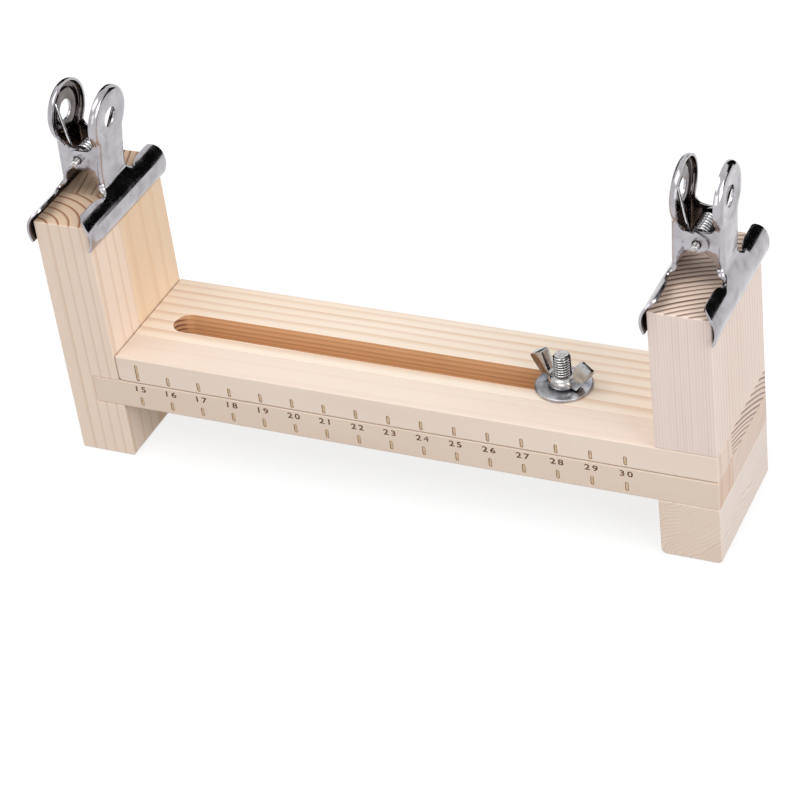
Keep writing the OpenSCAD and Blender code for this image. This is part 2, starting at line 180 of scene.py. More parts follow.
def new_material(name, **surface):
    """A material with a Principled shader whose plain numbers are set on its sockets."""
    material = bpy.data.materials.new(name)
    material.use_nodes = True
    shader = material.node_tree.nodes["Principled BSDF"]
    for socket, value in surface.items():
        shader.inputs[socket.replace("_", " ")].default_value = value
    return material, material.node_tree, shader


def new_object(name, bm, *materials):
    """An object in the scene from a bmesh, with its origin at the frame's origin."""
    mesh = bpy.data.meshes.new(name)
    bm.to_mesh(mesh)
    bm.free()
    made = bpy.data.objects.new(name, mesh)
    for material in materials:
        mesh.materials.append(material)
    bpy.context.scene.collection.objects.link(made)
    return made


def apply_modifiers(obj):
    """Turns an object's modifiers into plain mesh."""
    depsgraph = bpy.context.evaluated_depsgraph_get()
    mesh = bpy.data.meshes.new_from_object(obj.evaluated_get(depsgraph))
    mesh.name = obj.name
    obj.modifiers.clear()
    obj.data = mesh


def smooth(obj, degrees=35):
    """Shades an object smooth, with creases at edges sharper than the angle."""
    obj.data.shade_smooth()
    obj.data.set_sharp_from_angle(angle=math.radians(degrees))


print("helpers ready")

# %% [markdown]
# ## Floor, world and lamps
# The jig was photographed for a catalogue: a white ground and very soft light from above.
# The floor glows white for the camera and for mirrors, and a share of it stays plain paint, so
# that it still takes the jig's shadow. Bright plated steel only looks like steel when it
# has something dark to mirror, so dark cards stand round the table out of the camera's sight.

# %% Floor and world
FLOOR_SIZE = 8.0
FLOOR_PAINT = 0.3
FLOOR_GLOW = 0.76


def seen_directly(tree):
    """1 for camera, mirror and glass rays, 0 for the light that bounces around."""
    path = add(tree, "ShaderNodeLightPath").outputs
    seen = maths(tree, "MAXIMUM", path["Is Camera Ray"], path["Is Glossy Ray"])
    return maths(tree, "MAXIMUM", seen, path["Is Transmission Ray"])


def add_floor():
    """The floor: paint that takes the shadow, and a glow that lifts it to white."""
    material, tree, shader = new_material("studio_floor", Roughness=1.0, Specular_IOR_Level=0.0)
    shader.inputs["Base Color"].default_value = (FLOOR_PAINT, FLOOR_PAINT, FLOOR_PAINT, 1)
    shader.inputs["Emission Color"].default_value = (1, 1, 1, 1)
    glow = maths(tree, "MULTIPLY", seen_directly(tree), FLOOR_GLOW)
    tree.links.new(glow, shader.inputs["Emission Strength"])
    bm = bmesh.new()
    bmesh.ops.create_grid(bm, x_segments=1, y_segments=1, size=FLOOR_SIZE / 2)
    floor = new_object("studio_floor", bm, material)
    floor.location.z = -0.0002
    return floor


WORLD_LIGHT = 0.66


def set_world():
    """A white world: full strength where it is seen, less where it lights the object."""
    world = bpy.data.worlds.new("studio")
    bpy.context.scene.world = world
    world.use_nodes = True
    tree = world.node_tree
    background = tree.nodes["Background"]
    background.inputs["Color"].default_value = (1, 1, 1, 1)
    strength = add(tree, "ShaderNodeMix", data_type="FLOAT")
    tree.links.new(seen_directly(tree), strength.inputs[0])
    strength.inputs[2].default_value = WORLD_LIGHT
    strength.inputs[3].default_value = 1.0
    tree.links.new(strength.outputs[0], background.inputs["Strength"])


add_floor()
set_world()

# %% Lamps and dark cards
AIM = Vector((0, 0, 0.04))


def towards(azimuth, elevation, distance):
    """A place seen from the object's middle: azimuth 0 is the front, 90 the right."""
    a = math.radians(azimuth)
    e = math.radians(elevation)
    return AIM + distance * Vector((math.sin(a) * math.cos(e), -math.cos(a) * math.cos(e), math.sin(e)))


def add_lamp(name, azimuth, elevation, distance, size, power):
    """A square soft box that faces the object."""
    lamp = bpy.data.lights.new(name, "AREA")
    lamp.size = size
    lamp.energy = power
    made = bpy.data.objects.new(name, lamp)
    made.location = towards(azimuth, elevation, distance)
    made.rotation_euler = (made.location - AIM).to_track_quat("Z", "Y").to_euler()
    bpy.context.scene.collection.objects.link(made)


def add_card(name, azimuth, low, high, spread, distance, shade):
    """A curved dark card from elevation low to high: it shows in mirrors and nowhere else."""
    material, tree, shader = new_material(name, Roughness=1.0, Specular_IOR_Level=0.0)
    shader.inputs["Base Color"].default_value = (0, 0, 0, 1)
    shader.inputs["Emission Color"].default_value = (shade, shade, shade, 1)
    shader.inputs["Emission Strength"].default_value = 1.0
    steps = 12
    bm = bmesh.new()
    rows = []
    for elevation in (low, high):
        angles = [azimuth - spread / 2 + spread * i / steps for i in range(steps + 1)]
        rows.append([bm.verts.new(towards(angle, elevation, distance)) for angle in angles])
    for i in range(steps):
        bm.faces.new((rows[0][i], rows[0][i + 1], rows[1][i + 1], rows[1][i]))
    card = new_object(name, bm, material)
    card.visible_camera = False
    card.visible_diffuse = False
    card.visible_shadow = False


LAMPS = [
    ("key_lamp", -35, 62, 1.3, 0.9, 4.6),
    ("side_lamp", 70, 22, 1.4, 1.0, 8.6),
    ("front_lamp", 5, 12, 1.5, 1.0, 3.2),
]
for lamp in LAMPS:
    add_lamp(*lamp)
CARDS = [
    ("card_for_left_clip", 158, -5, 41, 32, 0.4, 0.006),
    ("card_for_right_clip", 129, 8.5, 40, 26, 0.4, 0.006),
    ("card_for_left_loops", 233, 8, 45, 28, 0.4, 0.006),
    ("dark_card_back_right", 125, 8, 22, 70, 1.0, 0.01),
    ("dark_card_back_left", 235, 4, 24, 60, 1.0, 0.01),
]
for card in CARDS:
    add_card(*card)
print("lamps", len(LAMPS), "cards", len(CARDS))

# %% [markdown]
# ## Pine
# Every wooden piece is bare planed softwood. What the eye reads as pine is its year rings: a pale
# early wood that darkens slowly and stops at a thin orange line of late wood. Rings are tubes
# round the pith of the tree, so one group works out how far a point lies from a pith line and
# cuts that distance into rings. A face along the line then shows stripes, a face across it shows
# arcs, and they meet at the edges as in real timber.

# %% The pine group


def pine_group():
    """Year rings round a pith line, with fibres along it."""
    tree, given, made = new_group(
        "Pine grain",
        {
            "Pith": [0.0, 0.0, 0.0], "Along": [1.0, 0.0, 0.0], "Ring Pitch": 3.0, "Wander": 2.0,
            "Line Width": 0.35, "Line Strength": 0.7, "End Strength": 0.9, "Fibre": 0.06,
            "Uneven Width": 2.2, "Uneven Strength": 0.6, "Ring Shift": 0.0, "Wave Scale": 0.012,
            "Fibre Scale": 2.6, "Stain": 0.12,
            "Early Colour": (1.0, 1.0, 1.0, 1.0), "Late Colour": (0.5, 0.3, 0.1, 1.0),
            "End Colour": (0.9, 0.8, 0.7, 1.0), "End Late Colour": (0.3, 0.15, 0.05, 1.0),
        },
        {"Colour": (), "Roughness": 0.0, "Height": 0.0},
    )
    coordinates = add(tree, "ShaderNodeTexCoord").outputs
    place = vectors(tree, "SCALE", coordinates["Object"])
    place.node.inputs["Scale"].default_value = 1 / MM
    along = vectors(tree, "NORMALIZE", given["Along"])
    offset = vectors(tree, "SUBTRACT", place, given["Pith"])
    run = add(tree, "ShaderNodeVectorMath", {0: offset, 1: along}, operation="DOT_PRODUCT").outputs["Value"]

    def scaled(vector, scale):
        node = add(tree, "ShaderNodeVectorMath", {0: vector, "Scale": scale}, operation="SCALE")
        return node.outputs["Vector"]

    across = vectors(tree, "SUBTRACT", offset, scaled(along, run))
    radius = add(tree, "ShaderNodeVectorMath", {0: across}, operation="LENGTH").outputs["Value"]

    def stretched_noise(across_scale, along_scale, detail):
        """Noise whose grains are long along the fibres: both scales are per millimetre."""
        squeezed = vectors(
            tree, "ADD", scaled(across, across_scale),
            scaled(along, maths(tree, "MULTIPLY", run, along_scale)))
        noise = add(tree, "ShaderNodeTexNoise", {"Vector": squeezed, "Scale": 1.0, "Detail": detail})
        return noise.outputs["Fac"]

    bend = maths(tree, "MULTIPLY", maths(tree, "SUBTRACT", stretched_noise(0.06, given["Wave Scale"], 2.0), 0.5),
                 given["Wander"])
    uneven = add(tree, "ShaderNodeTexNoise", {"W": radius, "Scale": 0.13, "Detail": 1.0},
                 noise_dimensions="1D").outputs["Fac"]
    rings = maths(tree, "ADD", maths(tree, "DIVIDE", maths(tree, "ADD", radius, bend), given["Ring Pitch"]),
                  maths(tree, "MULTIPLY_ADD", uneven, given["Uneven Width"], given["Ring Shift"]))
    number = maths(tree, "FLOOR", rings)
    share = maths(tree, "SUBTRACT", rings, number)
    chance = add(tree, "ShaderNodeTexWhiteNoise", {"W": number}, noise_dimensions="1D").outputs["Value"]
    start = maths(tree, "SUBTRACT", 1.0, given["Line Width"])
    darkening = ramp(tree, share, start, 0.93)
    stop = ramp(tree, share, 0.95, 1.0, 1.0, 0.0)
    line = maths(tree, "MULTIPLY", darkening, stop)
    weakness = maths(tree, "MULTIPLY", maths(tree, "SUBTRACT", 1.0, chance), given["Uneven Strength"])
    line = maths(tree, "MULTIPLY", line, maths(tree, "SUBTRACT", 1.0, weakness))
    facing = add(tree, "ShaderNodeVectorMath", {0: coordinates["Normal"], 1: along}, operation="DOT_PRODUCT")
    end = ramp(tree, maths(tree, "ABSOLUTE", facing.outputs["Value"]), 0.45, 0.85)
    strength = add(tree, "ShaderNodeMix", data_type="FLOAT")
    for socket, value in ((0, end), (2, given["Line Strength"]), (3, given["End Strength"])):
        tree.links.new(value, strength.inputs[socket])
    line = maths(tree, "MULTIPLY", line, strength.outputs[0])
    ground = mix(tree, end, given["Early Colour"], given["End Colour"])
    slow = stretched_noise(0.05, 0.01, 2.0)
    stain = maths(tree, "MULTIPLY", ramp(tree, slow, 0.35, 0.75), given["Stain"])
    ground = mix(tree, stain, ground, given["Late Colour"])
    fine = stretched_noise(given["Fibre Scale"], 0.05, 3.0)
    fibre = maths(tree, "MULTIPLY", maths(tree, "SUBTRACT", fine, 0.5), given["Fibre"])
    grained = mix(tree, line, ground, mix(tree, end, given["Late Colour"], given["End Late Colour"]))
    lightness = maths(tree, "ADD", 1.0, fibre)
    shaded = add(tree, "ShaderNodeVectorMath", {0: grained, "Scale": lightness}, operation="SCALE")
    tree.links.new(shaded.outputs["Vector"], made.inputs["Colour"])
    tree.links.new(maths(tree, "MULTIPLY_ADD", line, -0.12, 0.62), made.inputs["Roughness"])
    height = maths(tree, "MULTIPLY_ADD", line, 0.5, fine)
    tree.links.new(height, made.inputs["Height"])
    return tree


PINE = pine_group()


def pine_material(name, relief=0.00004, **values):
    """A pine finish with its own pith line, ring pitch and colours."""
    material, tree, shader = new_material(name, Specular_IOR_Level=0.25)
    grain = place_group(tree, PINE, {title.replace("_", " "): value for title, value in values.items()})
    tree.links.new(grain.outputs["Colour"], shader.inputs["Base Color"])
    tree.links.new(grain.outputs["Roughness"], shader.inputs["Roughness"])
    bump = add(tree, "ShaderNodeBump", {"Height": grain.outputs["Height"], "Distance": relief, "Strength": 0.5})
    tree.links.new(bump.outputs["Normal"], shader.inputs["Normal"])
    return material


print("pine group with", len(PINE.nodes), "nodes")

# %% [markdown]
# ## Wooden blocks
# The blocks are sawn and planed and their edges are eased with fine sandpaper. Each is an outline
# drawn in one plane and carried along the third axis. Its sharp edges are then rounded by a few
# tenths of a millimetre, because a perfectly sharp edge never catches the light.

# %% Outline, prism and easing


def prism(outline, axis, low, high):
    """A closed solid: an outline in the two other axes, carried along axis from low to high."""
    bm = bmesh.new()

    def corner(pair, level):
        values = list(pair)
        values.insert("XYZ".index(axis), level)
        return bm.verts.new(values)

    first = [corner(pair, low) for pair in outline]
    last = [corner(pair, high) for pair in outline]
    count = len(outline)
    bm.faces.new(first)
    bm.faces.new(last)
    for i in range(count):
        bm.faces.new((first[i], first[(i + 1) % count], last[(i + 1) % count], last[i]))
    bmesh.ops.recalc_face_normals(bm, faces=bm.faces)
    return bm


def arc(centre, radius, start, stop, steps):
    """Points on an arc, with its angles in degrees."""
    points = []
    for i in range(steps + 1):
        angle = math.radians(start + (stop - start) * i / steps)
        points.append((centre[0] + radius * math.cos(angle), centre[1] + radius * math.sin(angle)))
    return points


def slot_outline(centre, length, width, steps=12, upright=False):
    """A slot with round ends; upright turns it so that its length runs along the second axis."""
    half = (length - width) / 2
    points = arc((half, 0), width / 2, -90, 90, steps) + arc((-half, 0), width / 2, 90, 270, steps)
    if upright:
        points = [(-b, a) for a, b in points]
    return [(centre[0] + a, centre[1] + b) for a, b in points]


def cut_away(obj, cutter):
    """Takes the cutter out of the object; the new faces keep the cutter's material."""
    modifier = obj.modifiers.new("cut", "BOOLEAN")
    modifier.operation = "DIFFERENCE"
    modifier.solver = "EXACT"
    modifier.material_mode = "TRANSFER"
    modifier.object = cutter
    apply_modifiers(obj)
    bpy.data.objects.remove(cutter)


def ease_edges(obj, radius, segments=3):
    """Rounds every edge sharper than 40 degrees."""
    modifier = obj.modifiers.new("ease", "BEVEL")
    modifier.width = radius
    modifier.segments = segments
    modifier.limit_method = "ANGLE"
    modifier.angle_limit = math.radians(40)
    modifier.use_clamp_overlap = True
    apply_modifiers(obj)


EASED = 0.35 * MM
print("eased edges", EASED / MM, "mm")

# %% [markdown]
# ## The left post
# A block of glued pine: a strip of curved rings at its front and straighter rings behind. The
# lower board is let into it, and its top is sawn end grain with dark arcs.

# %% Left post
post_low, post_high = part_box("left_post")
lower_low, lower_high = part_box("lower_board")
glue_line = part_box("lower_rule_strip")[1].y

EARLY = colour(240, 218, 188)
LATE = colour(196, 140, 84)


def mixed_pine(name, seam, behind, front_share, relief=0.00004):
    """Pine glued from two strips at the seam: front_share gives the front strip's values."""
    material, tree, shader = new_material(name, Specular_IOR_Level=0.25)
    halves = [
        place_group(tree, PINE, {title.replace("_", " "): value for title, value in values.items()})
        for values in (front_share, behind)
    ]
    where = add(tree, "ShaderNodeSeparateXYZ", {0: add(tree, "ShaderNodeTexCoord").outputs["Object"]})
    is_behind = maths(tree, "GREATER_THAN", where.outputs["Y"], seam)
    chosen = mix(tree, is_behind, halves[0].outputs["Colour"], halves[1].outputs["Colour"])
    tree.links.new(chosen, shader.inputs["Base Color"])
    tree.links.new(halves[1].outputs["Roughness"], shader.inputs["Roughness"])
    bump = add(tree, "ShaderNodeBump", {"Height": halves[1].outputs["Height"], "Distance": relief,
                                        "Strength": 0.5})
    tree.links.new(bump.outputs["Normal"], shader.inputs["Normal"])
    return material


left_front_corner = (post_low.x / MM, post_low.y / MM)
POST_SEAM = 16.5 * MM
left_post_pine = mixed_pine(
    "left_post_pine", post_low.y + POST_SEAM,
    dict(Pith=[left_front_corner[0] - 140, -35, 0], Along=[0.01, 0, 1], Ring_Pitch=2.1, Wander=2.2,
         Line_Strength=0.24, End_Strength=1.0, Line_Width=0.5, Uneven_Width=0.8, Uneven_Strength=0.85,
         Stain=0.3, Fibre=0.08,
         Early_Colour=colour(243, 218, 190), Late_Colour=colour(214, 168, 122),
         End_Colour=colour(220, 192, 166), End_Late_Colour=colour(118, 70, 44)),
    dict(Pith=[left_front_corner[0] - 0.4, left_front_corner[1] - 5.3, 0], Along=[0.0, 0.004, 1],
         Ring_Pitch=2.95, Wander=0.7, Line_Strength=0.34, End_Strength=1.0, Line_Width=0.34,
         Uneven_Width=0.4, Uneven_Strength=0.15, Ring_Shift=0.26, Early_Colour=colour(244, 223, 205),
         Late_Colour=colour(206, 166, 130), End_Colour=colour(232, 204, 176),
         End_Late_Colour=colour(150, 84, 36)),
)


def make_left_post():
    """The post with the housing for the lower board."""
    housing = (lower_low.z, lower_high.z)
    inner = post_high.x
    outline = [
        (post_low.x, post_low.z), (inner, post_low.z), (inner, housing[0]), (lower_low.x, housing[0]),
        (lower_low.x, housing[1]), (inner, housing[1]), (inner, post_high.z), (post_low.x, post_high.z),
    ]
    post = new_object("left_post_wood", prism(outline, "Y", post_low.y, post_high.y), left_post_pine)
    ease_edges(post, EASED)
    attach(post, "base")
    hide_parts("left_post")
    return post


left_post = make_left_post()
print("left post", len(left_post.data.polygons), "faces")

# %% [markdown]
# ## The two boards
# Each board is a straight-grained pine strip behind a plain glued strip. The upper board has the
# long slot. Its cut walls are cross-cut fibres that a router has warmed, and are browner than
# the planed top, so they get a material of their own; that material is also darker as painted
# shade inside the slot.

# %% Boards
upper_low, upper_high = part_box("upper_board")
bolt_low, bolt_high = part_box("clamp_bolt")
bolt_x = (bolt_low.x + bolt_high.x) / 2
bolt_y = (bolt_low.y + bolt_high.y) / 2
SLOT_WIDTH = 9.0 * MM
SLOT_FROM_POST = 9.4 * MM
POST_GAP = 0.3 * MM
slot_left = upper_low.x - POST_GAP + SLOT_FROM_POST
slot_right = bolt_x + SLOT_WIDTH / 2

BOARD_LINES = dict(Pith=[0, -40, -78], Along=[1, 0.008, -0.003], Ring_Pitch=1.4, Wander=0.7,
                   Uneven_Width=0.8, Uneven_Strength=0.5)
upper_pine = pine_material(
    "upper_board_pine", Line_Strength=0.52, End_Strength=1.0, Line_Width=0.6,
    Early_Colour=colour(253, 237, 219), Late_Colour=colour(214, 164, 120),
    End_Colour=colour(238, 215, 202), End_Late_Colour=colour(72, 38, 30), **BOARD_LINES)
# The slot's walls: browner for the router's warmth, and darker again as painted shade in the slot.
slot_burn_and_shade_pine = pine_material(
    "slot_wall_burn_and_shade_pine", Line_Strength=0.42, End_Strength=1.0, Line_Width=0.7, Fibre=0.3,
    Early_Colour=colour(234, 186, 140), Late_Colour=colour(140, 84, 48),
    End_Colour=colour(212, 166, 130), End_Late_Colour=colour(84, 42, 24), **BOARD_LINES)
lower_pine = pine_material(
    "lower_board_pine", Pith=[0, 60, -60], Along=[1, -0.01, 0.004], Ring_Pitch=4.4, Wander=1.6,
    Line_Strength=0.35, End_Strength=0.16, Early_Colour=colour(242, 222, 198),
    Late_Colour=colour(200, 150, 110), End_Colour=colour(234, 213, 200),
    End_Late_Colour=colour(150, 106, 80))


def board_outline(low, high):
    """The board seen from above."""
    return [(low.x, low.y), (high.x, low.y), (high.x, high.y), (low.x, high.y)]


def make_upper_board():
    """The sliding board with its slot and the screws' countersunk holes."""
    board = new_object(
        "upper_board_wood", prism(board_outline(upper_low, upper_high), "Z", upper_low.z, upper_high.z),
        upper_pine)
    middle = ((slot_left + slot_right) / 2, 0)
    past = 2 * MM
    slot = slot_outline(middle, slot_right - slot_left, SLOT_WIDTH, steps=20)
    cutter = new_object("slot_cutter", prism(slot, "Z", upper_low.z - past, upper_high.z + past), slot_burn_and_shade_pine)
    cut_away(board, cutter)
    cut_screw_holes(board, "right_post_screws", upper_low.z)
    ease_edges(board, 0.25 * MM, 2)
    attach(board, "slide")
    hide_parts("upper_board")
    return board


SCREW_HEAD_R = 3.55 * MM
SCREW_SHANK_R = 1.8 * MM
SCREW_HEAD_H = 2.2 * MM


def screw_places(node):
    """The X and Y of each of the two screws in a node of two."""
    low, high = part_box(node)
    x = (low.x + high.x) / 2
    return [(x, low.y + SCREW_HEAD_R), (x, high.y - SCREW_HEAD_R)]


def cut_screw_holes(obj, node, surface):
    """Countersunk holes from the surface up, for the screws of a node."""
    low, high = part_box(node)
    levels = [(surface - MM, SCREW_HEAD_R), (low.z, SCREW_HEAD_R), (low.z + SCREW_HEAD_H, SCREW_SHANK_R),
              (high.z + 0.05 * MM, SCREW_SHANK_R)]
    for x, y in screw_places(node):
        cutter = new_object("screw_cutter", turned(levels, 32, (x, y)), obj.data.materials[0])
        cut_away(obj, cutter)


def turned(profile, steps, centre=(0, 0)):
    """A solid turned round a vertical axis from (height, radius) pairs, closed at both ends."""
    bm = bmesh.new()
    rings = []
    for height, radius in profile:
        angles = [math.tau * i / steps for i in range(steps)]
        rings.append([
            bm.verts.new((centre[0] + radius * math.cos(a), centre[1] + radius * math.sin(a), height))
            for a in angles
        ])
    for low, high in zip(rings, rings[1:]):
        for i in range(steps):
            bm.faces.new((low[i], low[(i + 1) % steps], high[(i + 1) % steps], high[i]))
    bm.faces.new(rings[0][::-1])
    bm.faces.new(rings[-1])
    bmesh.ops.recalc_face_normals(bm, faces=bm.faces)
    return bm


upper_board = make_upper_board()
print("upper board", len(upper_board.data.polygons), "faces, slot", round((slot_right - slot_left) / MM, 1), "mm")

# %% Lower board
HEAD_FLATS = 8.1 * MM
HEAD_TOP = bolt_low.z + 3.55 * MM


def hexagon(centre, across_flats):
    """A hexagon with a corner on +X."""
    radius = across_flats / 2 / math.cos(math.radians(30))
    return arc(centre, radius, 0, 300, 5)


def make_lower_board():
    """The fixed board with the bolt's hole and the pocket for its hexagon head."""
    board = new_object(
        "lower_board_wood", prism(board_outline(lower_low, lower_high), "Z", lower_low.z, lower_high.z),
        lower_pine)
    pocket = prism(hexagon((bolt_x, bolt_y), HEAD_FLATS), "Z", lower_low.z - MM, HEAD_TOP)
    cut_away(board, new_object("pocket_cutter", pocket, lower_pine))
    bore_r = 2.56 * MM
    bore = turned([(HEAD_TOP - MM, bore_r), (lower_high.z + MM, bore_r)], 40, (bolt_x, bolt_y))
    cut_away(board, new_object("bore_cutter", bore, lower_pine))
    cut_screw_holes(board, "foot_screws", lower_low.z - 20 * MM)
    ease_edges(board, 0.25 * MM, 2)
    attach(board, "base")
    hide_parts("lower_board")
    return board


lower_board = make_lower_board()
print("lower board", len(lower_board.data.polygons), "faces")

# %% [markdown]
# ## The foot and the right post
# The foot is an offcut with its grain from front to back, so its front shows end grain and its
# side shows wavy long grain. The right post is quarter sawn: close straight lines on its sides
# and dark slanted ring lines on its top.

# %% Foot and right post
foot_low, foot_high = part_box("right_foot")
right_low, right_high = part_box("right_post")
FOOT_ROUND = 1.5 * MM

foot_pine = pine_material(
    "foot_pine", Pith=[120, 0, -25], Along=[0.02, 1, 0.05], Ring_Pitch=1.05, Wander=11.0, Line_Width=0.6,
    Wave_Scale=0.045, Line_Strength=0.35, End_Strength=0.28, Fibre=0.08, Early_Colour=colour(246, 233, 224),
    Late_Colour=colour(180, 146, 122), End_Colour=colour(240, 221, 205),
    End_Late_Colour=colour(186, 140, 112))
right_post_pine = pine_material(
    "right_post_pine", Pith=[118, -59, 0], Along=[0.0, 0.006, 1], Ring_Pitch=2.05, Wander=0.8,
    Line_Width=0.62, Line_Strength=0.3, End_Strength=1.0, Fibre=0.1, Uneven_Width=0.6,
    Uneven_Strength=0.25, Early_Colour=colour(247, 231, 222), Late_Colour=colour(206, 168, 138),
    End_Colour=colour(252, 226, 208), End_Late_Colour=colour(58, 22, 12))
right_front_pine = pine_material(
    "right_post_front_pine", Pith=[190, -20, 0], Along=[0.003, 0.0, 1], Ring_Pitch=0.85, Wander=0.5,
    Line_Width=0.6, Line_Strength=0.34, Fibre=0.12, Fibre_Scale=1.4, Uneven_Width=0.5,
    Uneven_Strength=0.7, Early_Colour=colour(243, 226, 217), Late_Colour=colour(204, 168, 140))


def make_foot():
    """The foot with its two rounded lower edges."""
    r = FOOT_ROUND
    outline = (
        arc((foot_low.x + r, foot_low.z + r), r, 180, 270, 8)
        + arc((foot_high.x - r, foot_low.z + r), r, 270, 360, 8)
        + [(foot_high.x, foot_high.z), (foot_low.x, foot_high.z)]
    )
    foot = new_object("right_foot_wood", prism(outline, "Y", foot_low.y, foot_high.y), foot_pine)
    cut_screw_holes(foot, "foot_screws", foot_low.z)
    ease_edges(foot, EASED)
    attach(foot, "base")
    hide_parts("right_foot")
    return foot


def make_right_post():
    """The post that stands on the upper board."""
    outline = [(right_low.x, right_low.z), (right_high.x, right_low.z), (right_high.x, right_high.z),
               (right_low.x, right_high.z)]
    post = new_object("right_post_wood", prism(outline, "Y", right_low.y, right_high.y), right_post_pine)
    post.data.materials.append(right_front_pine)
    for face in post.data.polygons:
        if face.normal.y < -0.9:
            face.material_index = 1
    cut_screw_holes(post, "right_post_screws", right_low.z - 10 * MM)
    ease_edges(post, EASED)
    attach(post, "slide")
    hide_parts("right_post")
    return post


right_foot = make_foot()
right_post = make_right_post()
print("foot", len(right_foot.data.polygons), "right post", len(right_post.data.polygons), "faces")

# %% [markdown]
# ## The ruler
# The ruler is burnt into the two plain strips. A laser drew each mark as an outline, so it is a
# dark groove round a floor that is only scorched. The numbers are cut from a built-in font that
# was made bolder, one digit at a time, and each leaves a shallow burnt pocket.

# %% Strip wood and burnt wood
strip_low, strip_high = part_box("upper_rule_strip")
plain_low, plain_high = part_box("lower_rule_strip")


def strip_material(name, ground, figure, end):
    """A plain pale wood with a faint figure: the pine group with its lines turned right down."""
    return pine_material(
        name, relief=0.00002, Pith=[0, -70, 30], Along=[1, 0.01, 0.0], Ring_Pitch=6.0, Wander=6.0,
        Line_Width=0.8, Line_Strength=0.10, End_Strength=0.3, Fibre=0.035, Early_Colour=ground,
        Late_Colour=figure, End_Colour=end, End_Late_Colour=colour(150, 104, 78))


upper_strip_wood = strip_material("upper_strip_wood", colour(246, 228, 213), colour(205, 170, 140), colour(240, 220, 206))
lower_strip_wood = strip_material("lower_strip_wood", colour(236, 217, 200), colour(200, 150, 120), colour(230, 204, 186))


def burnt_material(name, dark, light, scale):
    """Charred wood: two browns mixed by a fine noise."""
    material, tree, shader = new_material(name, Specular_IOR_Level=0.2, Roughness=0.8)
    place = add(tree, "ShaderNodeTexCoord").outputs["Object"]
    noise = add(tree, "ShaderNodeTexNoise", {"Vector": place, "Scale": scale, "Detail": 2.0})
    share = ramp(tree, noise.outputs["Fac"], 0.35, 0.7)
    tree.links.new(mix(tree, share, dark, light), shader.inputs["Base Color"])
    return material


burnt = burnt_material("burnt_line", colour(122, 84, 56), colour(168, 124, 88), 1500)
burnt_digit = burnt_material("burnt_digit", colour(94, 56, 34), colour(136, 90, 60), 1500)
scorched = burnt_material("scorched_floor", colour(214, 182, 148), colour(234, 206, 174), 1500)
print("strips", [m.name for m in (upper_strip_wood, lower_strip_wood, burnt, burnt_digit, scorched)])

# %% Marks and numbers
RULE_FIRST = 6.8 * MM
RULE_PITCH = 10.0 * MM
FIRST_NUMBER = 15
LAST_NUMBER = 30
MARK_LENGTH = 3.05 * MM
INDEX_LENGTH = 5.8 * MM
MARK_WIDTH = 1.0 * MM
GROOVE = 0.18 * MM
GROOVE_DEPTH = 0.3 * MM
FLOOR_DEPTH = 0.12 * MM
LOW_MARK_BELOW_SEAM = 6.2 * MM
UP_MARK_ABOVE_SEAM = 0.8 * MM
DIGIT_BELOW_SEAM = 1.95 * MM
DIGIT_HEIGHT = 1.85 * MM
DIGIT_STRETCH = 1.3
DIGIT_SPACING = 2.3 * MM
DIGIT_DEPTH = 0.15 * MM
DIGIT_BOLD = 0.05 * MM
PROUD = 0.5 * MM

numbers = range(FIRST_NUMBER, LAST_NUMBER + 1)
mark_places = {n: post_high.x + RULE_FIRST + (n - FIRST_NUMBER) * RULE_PITCH for n in numbers}


def merged(parts):
    """One bmesh from several."""
    whole = bmesh.new()
    for part in parts:
        mesh = bpy.data.meshes.new("part")
        part.to_mesh(mesh)
        part.free()
        whole.from_mesh(mesh)
        bpy.data.meshes.remove(mesh)
    return whole


def cut_marks(strip, marks, front):
    """Burns the marks into a strip's front: each is a middle (x, z) and a length."""
    def slots(shrink, near, far):
        return merged([
            prism(slot_outline((x, z), length - shrink, MARK_WIDTH - shrink, 8, upright=True), "Y", near, far)
            for x, z, length in marks
        ])

    cut_away(strip, new_object("floor_cutter", slots(0, front - PROUD, front + FLOOR_DEPTH), scorched))
    rings = new_object("ring_cutter", slots(0, front - PROUD, front + GROOVE_DEPTH), burnt)
    island = new_object("island_cutter", slots(2 * GROOVE, front - 2 * PROUD, front + PROUD), burnt)
    cut_away(rings, island)
    cut_away(strip, rings)


def digit_cutter(text, x, z, front):
    """One digit as a small solid that reaches into the strip's front face."""
    curve = bpy.data.curves.new("digit", "FONT")
    curve.body = text
    curve.align_x = "CENTER"
    curve.align_y = "CENTER"
    curve.size = DIGIT_HEIGHT / 0.70
    curve.offset = 0 if text == "4" else DIGIT_BOLD  # the 4's small counter would close
    curve.extrude = (PROUD + DIGIT_DEPTH) / 2
    curve.resolution_u = 4
    made = bpy.data.objects.new("digit", curve)
    made.matrix_world = (Matrix.Translation((x, front + (DIGIT_DEPTH - PROUD) / 2, z))
                         @ Matrix.Rotation(math.radians(90), 4, "X")
                         @ Matrix.Diagonal((DIGIT_STRETCH, 1, 1, 1)))
    bpy.context.scene.collection.objects.link(made)
    depsgraph = bpy.context.evaluated_depsgraph_get()
    mesh = bpy.data.meshes.new_from_object(made.evaluated_get(depsgraph))
    bm = bmesh.new()
    bm.from_mesh(mesh)
    bm.transform(made.matrix_world)
    bmesh.ops.remove_doubles(bm, verts=bm.verts, dist=0.001 * MM)
    bpy.data.objects.remove(made)
    return bm


def cut_numbers(strip, front):
    """Burns each number above its mark, digit by digit."""
    digits = []
    for number, x in mark_places.items():
        for place, text in enumerate(str(number)):
            spot = x + (place - 0.5) * DIGIT_SPACING
            digits.append(digit_cutter(text, spot, plain_high.z - DIGIT_BELOW_SEAM, front))
    cut_away(strip, new_object("digit_cutter", merged(digits), burnt_digit))


print("marks", len(mark_places), "from", FIRST_NUMBER, "to", LAST_NUMBER)

# %% The two ruler strips
STRIP_ROUND = 1.5 * MM
STRIP_EASED = 0.3 * MM
SEAM_GAP = 0.16 * MM


